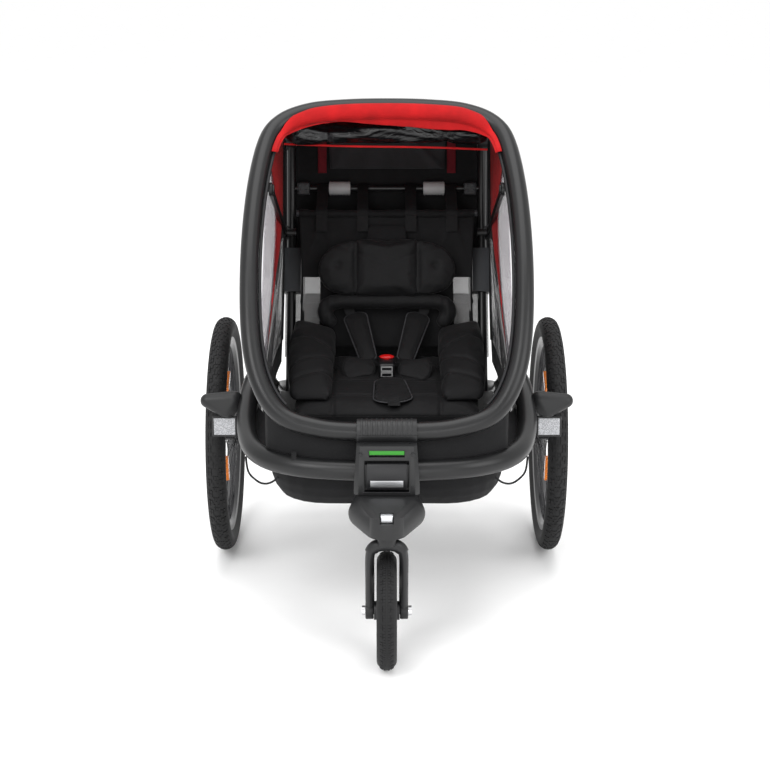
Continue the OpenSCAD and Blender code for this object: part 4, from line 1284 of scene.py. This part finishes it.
def pillow_lobe(name, x0, x1, z0, z1, deep, outer):
    """One lobe of the head pillow; an outer one is rounded off towards its end."""
    if outer:
        seam, end = (x0, x1) if x0 > 0 else (x1, x0)
        level, half = (z0 + z1) / 2, (z1 - z0) / 2
        outline = [(seam, z0), (seam, z1)]
        for k in range(1, 16):
            a = math.radians(90 - 12 * k)
            reach = math.cos(a) ** 0.8
            outline.append((lerp(seam, end, 0.12 + 0.88 * reach), level + (half - 2) * math.sin(a) - 5 * reach))
    else:
        outline = rounded(x1 - x0, z1 - z0, 6, 3, ((x0 + x1) / 2, (z0 + z1) / 2))
    return slab(name, outline, deep - 20, lambda u, v, w: on_back(u, -w - 9, v))


def harness_pad(name, a, b, wide_a, wide_b, thick, up=(0, -0.6, 0.8)):
    """A flat strap pad from a to b, its ends rounded, lying square to up."""
    a, b = Vector(a), Vector(b)
    along = (b - a).normalized()
    lift = (Vector(up) - along * Vector(up).dot(along)).normalized()
    across = along.cross(lift).normalized()
    length = (b - a).length
    outline = []
    for end, wide, start in ((length, wide_b, 0), (0, wide_a, 180)):
        r = wide / 2
        for k in range(9):
            angle = math.radians(start + 180 * k / 8)
            sign = 1 if end else -1
            outline.append((r * math.cos(angle), end + sign * abs(math.sin(angle)) * r * 0.55 - sign * r * 0.55))

    def put(u, v, w):
        return tuple(a + along * v + across * u + lift * (w - thick / 2))
    pad = slab(name, outline, thick, put)
    rim = [a + along * v + across * u for u, v in outline]
    return stuff(pad, 3.2, 3.5, 3.0), rim


def seat_back(fabric, strap_finish, grey, net):
    """The slung seat back, pulled into creases between its straps and its pad."""
    def crease(x, z):
        pull = 0
        for at in (-140, -52, 52, 140):
            for lean in (-0.32, 0.32):
                line = at + lean * (BACK_HEIGHT - 3 - z)
                fade = math.exp(-((BACK_HEIGHT - 3 - z) / 70) ** 2)
                pull += 3.4 * math.exp(-((x - line) / 5.5) ** 2) * fade
        waist = 2.2 * math.sin(z * 0.07 + 0.02 * x) * math.exp(-((z - 240) / 60) ** 2)
        return pull + waist * (abs(x) / 190)

    def place(u, v):
        z = lerp(0, BACK_HEIGHT + 1, v)
        half = 189 - 5 * math.sin(math.pi * v)
        x = lerp(-half, half, u)
        return on_back(x, 6 - crease(x, z) + 3 * (1 - (x / 190) ** 2) * math.sin(math.pi * v), z)
    back = sheet_grid("seat_back_sling", 90, 70, place)
    hang(back, "leaning", fabric, "black_fabric", 2.4,
         replaces=("seat_back",))
    back.data.materials.append(net)
    for face in back.data.polygons:
        x, y, z = (face.center - AXLE) / MM
        if 144 < abs(x) < 179 and 20 < up_back(y, z) < 152:
            face.material_index = 1

    def sleeve(u, v):
        turn = 2 * math.pi * v
        x = lerp(-189, 189, u)
        r = 8.6 + 0.7 * math.sin(x * 0.09) + 0.4 * math.sin(x * 0.31)
        return x, HEM[0] + r * math.cos(turn), HEM[1] + r * math.sin(turn) - (1.5 if abs(x) < 170 else 0)
    hem = sheet_grid("seat_back_hem", 80, 16, sleeve)
    close_seams(hem)
    dress(smooth(hem), "leaning", fabric, "black_fabric")
    ends = [round_edges(rod("rod_end", (s * 187, *HEM), (s * 195.5, *HEM), 7.2, 32), 2) for s in (-1, 1)]
    join_pieces(*ends)
    ends[0].name = "hem_rod_ends"
    dress(smooth(ends[0], 40), "leaning", grey, "grey_plastic")
    below = Vector((0, SEAT_BAR[0] - HEM[0], SEAT_BAR[1] - HEM[1])).normalized()
    tilt = math.degrees(math.atan2(below.z, below.y))
    gap = 8.5
    straps = []
    for i, x in enumerate((-140, -52, 52, 140)):
        path = ([ring_spot(x, HEM, 10.5, tilt + a) for a in (200, 160, 120, 95)]
                + [(x, lerp(HEM[0], SEAT_BAR[0], t) - gap * below.z,
                    lerp(HEM[1], SEAT_BAR[1], t) + gap * below.y) for t in (0.25, 0.5, 0.75)]
                + [ring_spot(x, SEAT_BAR, 8.6, tilt + a) for a in (95, 60, 20, -20, -60, -95)]
                + [(x, lerp(SEAT_BAR[0], HEM[0], t) + gap * below.z,
                    lerp(SEAT_BAR[1], HEM[1], t) - gap * below.y) for t in (0.3, 0.6)])
        straps.append(ribbon("strap_%d" % i, path, 24, 1.8))
        tape = [on_back(x, -3.4, z) for z in (284, 272, 260, 248)]
        straps.append(ribbon("tape_%d" % i, tape, 24, 1.6))
    join_pieces(*straps)
    straps[0].name = "back_straps"
    dress(straps[0], "leaning", strap_finish, "webbing", ("hanging_straps",))
    lug_plastic = moulded("bar_lug_plastic", (0.02, 0.02, 0.022), 0.5)
    screws = []
    for side in (-1, 1):
        for dx in (-7, 7):
            for dz in (-6, 6):
                at = (side * 182 + dx, SEAT_BAR[0] - 9, SEAT_BAR[1] + 2 + dz)
                screws.append(round_edges(rod("bar_screw", at, (at[0], at[1] - 4, at[2]), 3.1, 20), 0.8))
        lug = round_edges(box("bar_lug", (side * 182 - 14, SEAT_BAR[0] - 9.5, SEAT_BAR[1] - 14),
                              (side * 182 + 14, SEAT_BAR[0] + 9, SEAT_BAR[1] + 14)), 4, 3)
        dress(lug, "rear_frame", lug_plastic, "black_plastic")
        lug.name = ("right" if side < 0 else "left") + "_bar_lug"
    join_pieces(*screws)
    screws[0].name = "bar_screws"
    dress(smooth(screws[0], 40), "rear_frame", grey, "steel")


def seat_goods(fabric, pad_cloth, strap_finish, grey_piping, dark_piping, slot_grey, red_plastic):
    """Cushion, bolsters, head pillow, neck roll and harness, swelled together and then sewn."""
    cushion = seat_cushion()
    left, right = bolster(1, "left"), bolster(-1, "right")
    lobes = [stuff(pillow_lobe("lobe_right", -146, -58, 108, 226, 52, True), 4.5, 6),
             stuff(pillow_lobe("lobe_middle", -70, 70, 107, 228, 54, False), 4.5, 6),
             stuff(pillow_lobe("lobe_left", 58, 146, 108, 226, 52, True), 4.5, 6)]
    half = [(-112, -15, 44), (-131, -17, 66), (-128, -19, 88), (-100, -20, 96), (-50, -20, 97)]
    spine = curve_through(half + [(0, -20, 96)] + opposite(half), 8)

    def roll(u, v):
        i = min(round(u * (len(spine) - 1)), len(spine) - 1)
        here = spine[i]
        ahead = (spine[min(i + 1, len(spine) - 1)] - spine[max(i - 1, 0)]).normalized()
        side = ahead.cross(Vector((0, 1, 0))).normalized()
        end = math.sqrt(max(0.03, 1 - (max(0, abs(u - 0.5) - 0.42) / 0.085) ** 2))
        turn = 2 * math.pi * v
        out = here + Vector((0, 1, 0)) * 15 * end * math.cos(turn) + side * 17 * end * math.sin(turn)
        return on_back(*out)
    neck = sheet_grid("neck_roll_pad", 64, 24, roll)
    close_seams(neck, True)
    stuff(neck, 4.5, 4)
    pads, rims = [], []
    for side, name in ((-1, "right"), (1, "left")):
        pad, rim = harness_pad(name + "_shoulder_pad", on_back(side * 70, -11, 72), on_seat(side * 37, 203, 12),
                               50, 36, 9, (0, -0.8, 0.6))
        pads.append(pad)
        rims.append(rim)
        pad, rim = harness_pad(name + "_waist_pad", on_seat(side * 92, 158 - 6 * side, 14),
                               on_seat(side * 24, 166, 13), 58, 42, 9, (0, -0.62, 0.78))
        pads.append(pad)
        rims.append(rim)
    crotch, rim = harness_pad("crotch_pad", on_seat(14, 12, 7.5), on_seat(5, 126, 7.5), 78, 64, 9,
                              (0, -0.3, 0.95))
    rims.append(rim)
    swell_all()

    join_pieces(lobes[1], lobes[0], lobes[2])
    pillow = lobes[1]
    pillow.name = "head_pillow_pad"

    def pillow_press(x, y, z, normal):
        up = up_back(y, z)
        seam = abs(abs(x) - 67)
        button = math.hypot(abs(x) - 104, up - 172)
        return normal * (-2.2 * math.exp(-(seam / 5) ** 2) - 5 * math.exp(-(button / 9) ** 2) * (normal.y < 0)
                         - 1.1 * math.exp(-((up - 172 - 0.4 * abs(x)) / 5) ** 2)
                         + 0.5 * ripple(2 * x, y, 2 * z))
    soften(pillow, pillow_press)
    dress(pillow, "leaning", pad_cloth, "pad_fabric", ("head_pillow",))
    tab = slab("pillow_tab", [(-44, 222), (44, 222), (39, 254), (34, 260), (-34, 260), (-39, 254)], 5,
               lambda u, v, w: on_back(u, -w - 3 - 0.12 * (260 - v), v))
    round_edges(tab, 1.2, 2, 50)
    dress(smooth(tab, 50), "leaning", fabric, "black_fabric")
    soften(neck, lambda x, y, z, n: n * (0.7 * math.sin(x * 0.35) * math.exp(-((abs(x) - 128) / 22) ** 2)
                                          + 0.5 * ripple(x, y, z, 4.0)))
    dress(neck, "leaning", pad_cloth, "pad_fabric", ("neck_roll",))

    def cushion_lines(x, y, z):
        across = min(abs(y - at) for at in (-190, -120, -50))
        return min(across, abs(abs(x) - 108) if y < 20 else 99)
    quilt(cushion, cushion_lines, 3.4, 4.5)
    soften(cushion, lambda x, y, z, n: n * (0.8 * ripple(x * 1.6, y * 1.6, z)))
    dress(cushion, "chassis", pad_cloth, "pad_fabric", ("seat_cushion",))
    for pad, name, side in ((left, "left", 1), (right, "right", -1)):
        def seams(x, y, z):
            return min(abs(y + 68 - 0.25 * (abs(x) - 150)), abs(y + 132 + 0.5 * (abs(x) - 150)),
                       abs(y + 176 + 0.35 * (abs(x) - 150)))
        quilt(pad, seams, 2.8, 4.5)
        soften(pad, lambda x, y, z, n: n * (0.9 * ripple(x * 1.5, y * 1.8, z * 1.8, side)))
        dress(pad, "chassis", pad_cloth, "pad_fabric")
    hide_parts("seat_bolsters")
    for pad in pads:
        dress(pad, "leaning", pad_cloth, "pad_fabric")
    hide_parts("shoulder_straps")
    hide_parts("waist_straps")
    dress(crotch, "chassis", pad_cloth, "pad_fabric", ("crotch_strap",))
    for i, rim in enumerate(rims):
        welt = tube("harness_piping_%d" % i, rim, 1.5, closed=True, sides=8)
        dress(welt, "leaning", grey_piping if i in (0, 2, 4) else dark_piping, "webbing")
    harness_straps(strap_finish)
    buckle_parts(red_plastic, slot_grey)


def harness_straps(finish):
    """Webbing that comes out of the pads and runs to the seat back and the buckle."""
    runs = (("upper_strap", on_back, ((70, -16.5, 55), (79, -17, 74), (84, -8, 92), (86, -2, 104)), 22, (1, 0, 0)),
            ("lower_strap", on_seat, ((40, 214, 16.5), (33, 196, 16.5), (24, 184, 17), (12, 178, 19)), 20, (1, 0, 0)),
            ("hip_strap", on_seat, ((104, 175, 15), (124, 178, 10), (140, 184, 5), (150, 192, 3)), 22, (0, 1, 0.18)))
    straps = []
    for side in (-1, 1):
        for name, put, points, width, across in runs:
            straps.append(ribbon(name, [put(side * x, y, z) for x, y, z in points], width, 1.6, across))
    middle = [on_seat(x, y, z) for x, y, z in ((15, 4, 4), (13, 20, 14.2), (7, 80, 14.8), (2, 120, 13.5),
                                               (0, 139.5, 5))]
    straps.append(ribbon("middle_strap", middle, 24, 1.6))
    join_pieces(*straps)
    straps[0].name = "harness_webbing"
    dress(straps[0], "leaning", finish, "webbing")


def buckle_parts(red_plastic, slot_grey):
    """Slots on the buckle and the domed oval of its release button."""
    frames = []
    for z in (5, 18):
        for x0, y0, x1, y1 in ((-12, 0, 12, 2), (-12, 9, 12, 11), (-12, 0, -10, 11), (10, 0, 12, 11)):
            edge = slab("slot_edge", [(x0, y0), (x1, y0), (x1, y1), (x0, y1)], 1.6,
                        lambda u, v, w: on_seat(u, 138.6 - w, z + v))
            frames.append(round_edges(edge, 0.5, 2))
    join_pieces(*frames)
    frames[0].name = "buckle_slot_frames"
    dress(frames[0], "chassis", slot_grey, "grey_plastic")
    dome = ball("buckle_oval", (0, 0, 0), (15.5, 8.2, 4.5), 32)
    for corner in dome.data.vertices:
        local = (corner.co - AXLE) / MM
        corner.co = spot(*on_seat(local.x, 172 + local.y, 36.2 + local.z))
    dress(smooth(dome), "buckle_button", red_plastic, "red_plastic")
    finish_node("buckle_button", red_plastic)


def finish_node(name, material):
    """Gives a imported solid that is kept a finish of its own."""
    node = nodes[name]
    if not node.material_slots:
        node.data.materials.append(material)
    for slot in node.material_slots:
        slot.material = material


# ---------- the trailer ----------

def crumple():
    """Gives the roof, the walls and the bag meshes of their own."""
    walls = [side + part for side in ("left", "right") for part in (
        "_window", "_red_surround", "_upper_side", "_side_net", "_lower_side", "_window_piping", "_wall_piping",
        "_wall_hem")]
    for name in ["canopy_roof"] + walls:
        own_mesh(bpy.data.objects[name])
    for name in ("luggage_bag_shell", "luggage_bag_hem"):
        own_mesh(bpy.data.objects[name])


def build():
    make_camera()
    black_cloth = cloth("black_polyester", (0.0045, 0.0045, 0.005), 0.8, sheen=0.02)
    elastic = webbing("elastic_cord", (0.012, 0.012, 0.013))
    cover_cord("left_cover_cord", 1, "cover_cord_left", elastic)
    cover_cord("right_cover_cord", -1, "cover_cord_right", elastic)
    make_studio()

    tube_coat = coated("frame_coat", (0.0075, 0.0076, 0.008), 0.33)
    housing = moulded("housing_plastic", (0.009, 0.0092, 0.0098), 0.44)
    black_plastic = moulded("black_plastic_grain", (0.007, 0.007, 0.008), 0.42)
    bracket_grey = moulded("bracket_plastic", (0.028, 0.030, 0.034), 0.5)
    sleeve_grey = moulded("sleeve_plastic", (0.33, 0.33, 0.33), 0.45)
    red_plastic = moulded("red_button", (0.5, 0.006, 0.006), 0.32)
    green = moulded("green_indicator", (0.02, 0.2, 0.012), 0.4)
    silver_paint = metal("satin_silver", (0.62, 0.63, 0.65), 0.4)
    steel = metal("bright_steel", (0.62, 0.62, 0.63), 0.28)
    black_rim = coated("black_rim", (0.016, 0.016, 0.018), 0.3)
    tread = rubber("tyre_rubber", (0.008, 0.008, 0.0084), 0.72)
    front_rubber = rubber("front_tyre_rubber", (0.007, 0.007, 0.0074), 0.75)
    seal = rubber("seal_rubber", (0.006, 0.006, 0.007), 0.6)
    orange = prismatic("orange_prism", (0.85, 0.2, 0.006))
    clear = prismatic("clear_prism", (0.3, 0.305, 0.32))
    pad_cloth = cloth("pad_polyester", (0.0045, 0.0045, 0.005), 0.68, 1.4, 0.2, 1.2, 0.03)
    red_cloth = cloth("red_polyester", (0.32, 0.0035, 0.0045), 0.8, 1.2, 0.15, 1.0, 0.03)
    strap_black = webbing("harness_webbing_black", (0.0055, 0.0055, 0.006))
    grey_piping = webbing("grey_piping", (0.04, 0.04, 0.043))
    dark_piping = webbing("dark_piping", (0.006, 0.006, 0.0065))
    pocket_cloth = cloth("pocket_polyester", (0.014, 0.014, 0.0155), 0.62, sheen=0.1, crease=1.2)
    stripe_cloth = cloth("dark_red_polyester", (0.09, 0.004, 0.008), 0.8, sheen=0.03)
    grey_net = film("grey_net", (0.17, 0.17, 0.17), 0.62, 0.7)
    tinted = film("window_tint", (0.40, 0.36, 0.40), 0.55, 0.25)
    netting = knitted_mesh("black_net", (0.012, 0.012, 0.013))
    shine = glossy_cover("rain_cover", (0.0035, 0.0035, 0.004))
    board = moulded("seat_board", (0.02, 0.02, 0.02), 0.6)

    for node, material in (("axle_beam", tube_coat), ("clamp_bolts", steel), ("floor_board", board),
                           ("tow_socket", housing), ("brake_bar", steel), ("front_axle", steel),
                           ("left_arm", housing), ("right_arm", housing), ("left_rim", black_rim),
                           ("right_rim", black_rim), ("left_spokes", black_rim), ("right_spokes", black_rim),
                           ("left_hub", black_plastic), ("right_hub", black_plastic),
                           ("left_release_button", bracket_grey), ("right_release_button", bracket_grey),
                           ("rear_struts", tube_coat), ("bar_sleeves", sleeve_grey), ("upper_links", tube_coat)):
        finish_node(node, material)

    chassis_rail(tube_coat)
    hoop_tube(tube_coat, seal)
    push_bar(tube_coat, seal)
    side_wheel(1, "left", tread, orange, black_plastic)
    side_wheel(-1, "right", tread, orange, black_plastic)
    front_wheel(front_rubber, black_plastic)
    connector(housing, bracket_grey, silver_paint, green, black_plastic)
    guards(clear, housing)
    canopy_roof(red_cloth)
    canopy_valance(red_cloth)
    canopy_back(black_cloth, pocket_cloth, stripe_cloth, grey_net)
    roll_cover(shine, red_cloth)
    side_wall("left", 1, red_cloth, black_cloth, tinted, netting, dark_piping)
    side_wall("right", -1, red_cloth, black_cloth, tinted, netting, dark_piping)
    front_panel(black_cloth, strap_black)
    fabric_tub(black_cloth, board)
    luggage_bag(black_cloth, strap_black)
    seat_back(black_cloth, strap_black, bracket_grey, grey_net)
    seat_goods(black_cloth, pad_cloth, strap_black, grey_piping, dark_piping, sleeve_grey, red_plastic)
    crumple()


build()
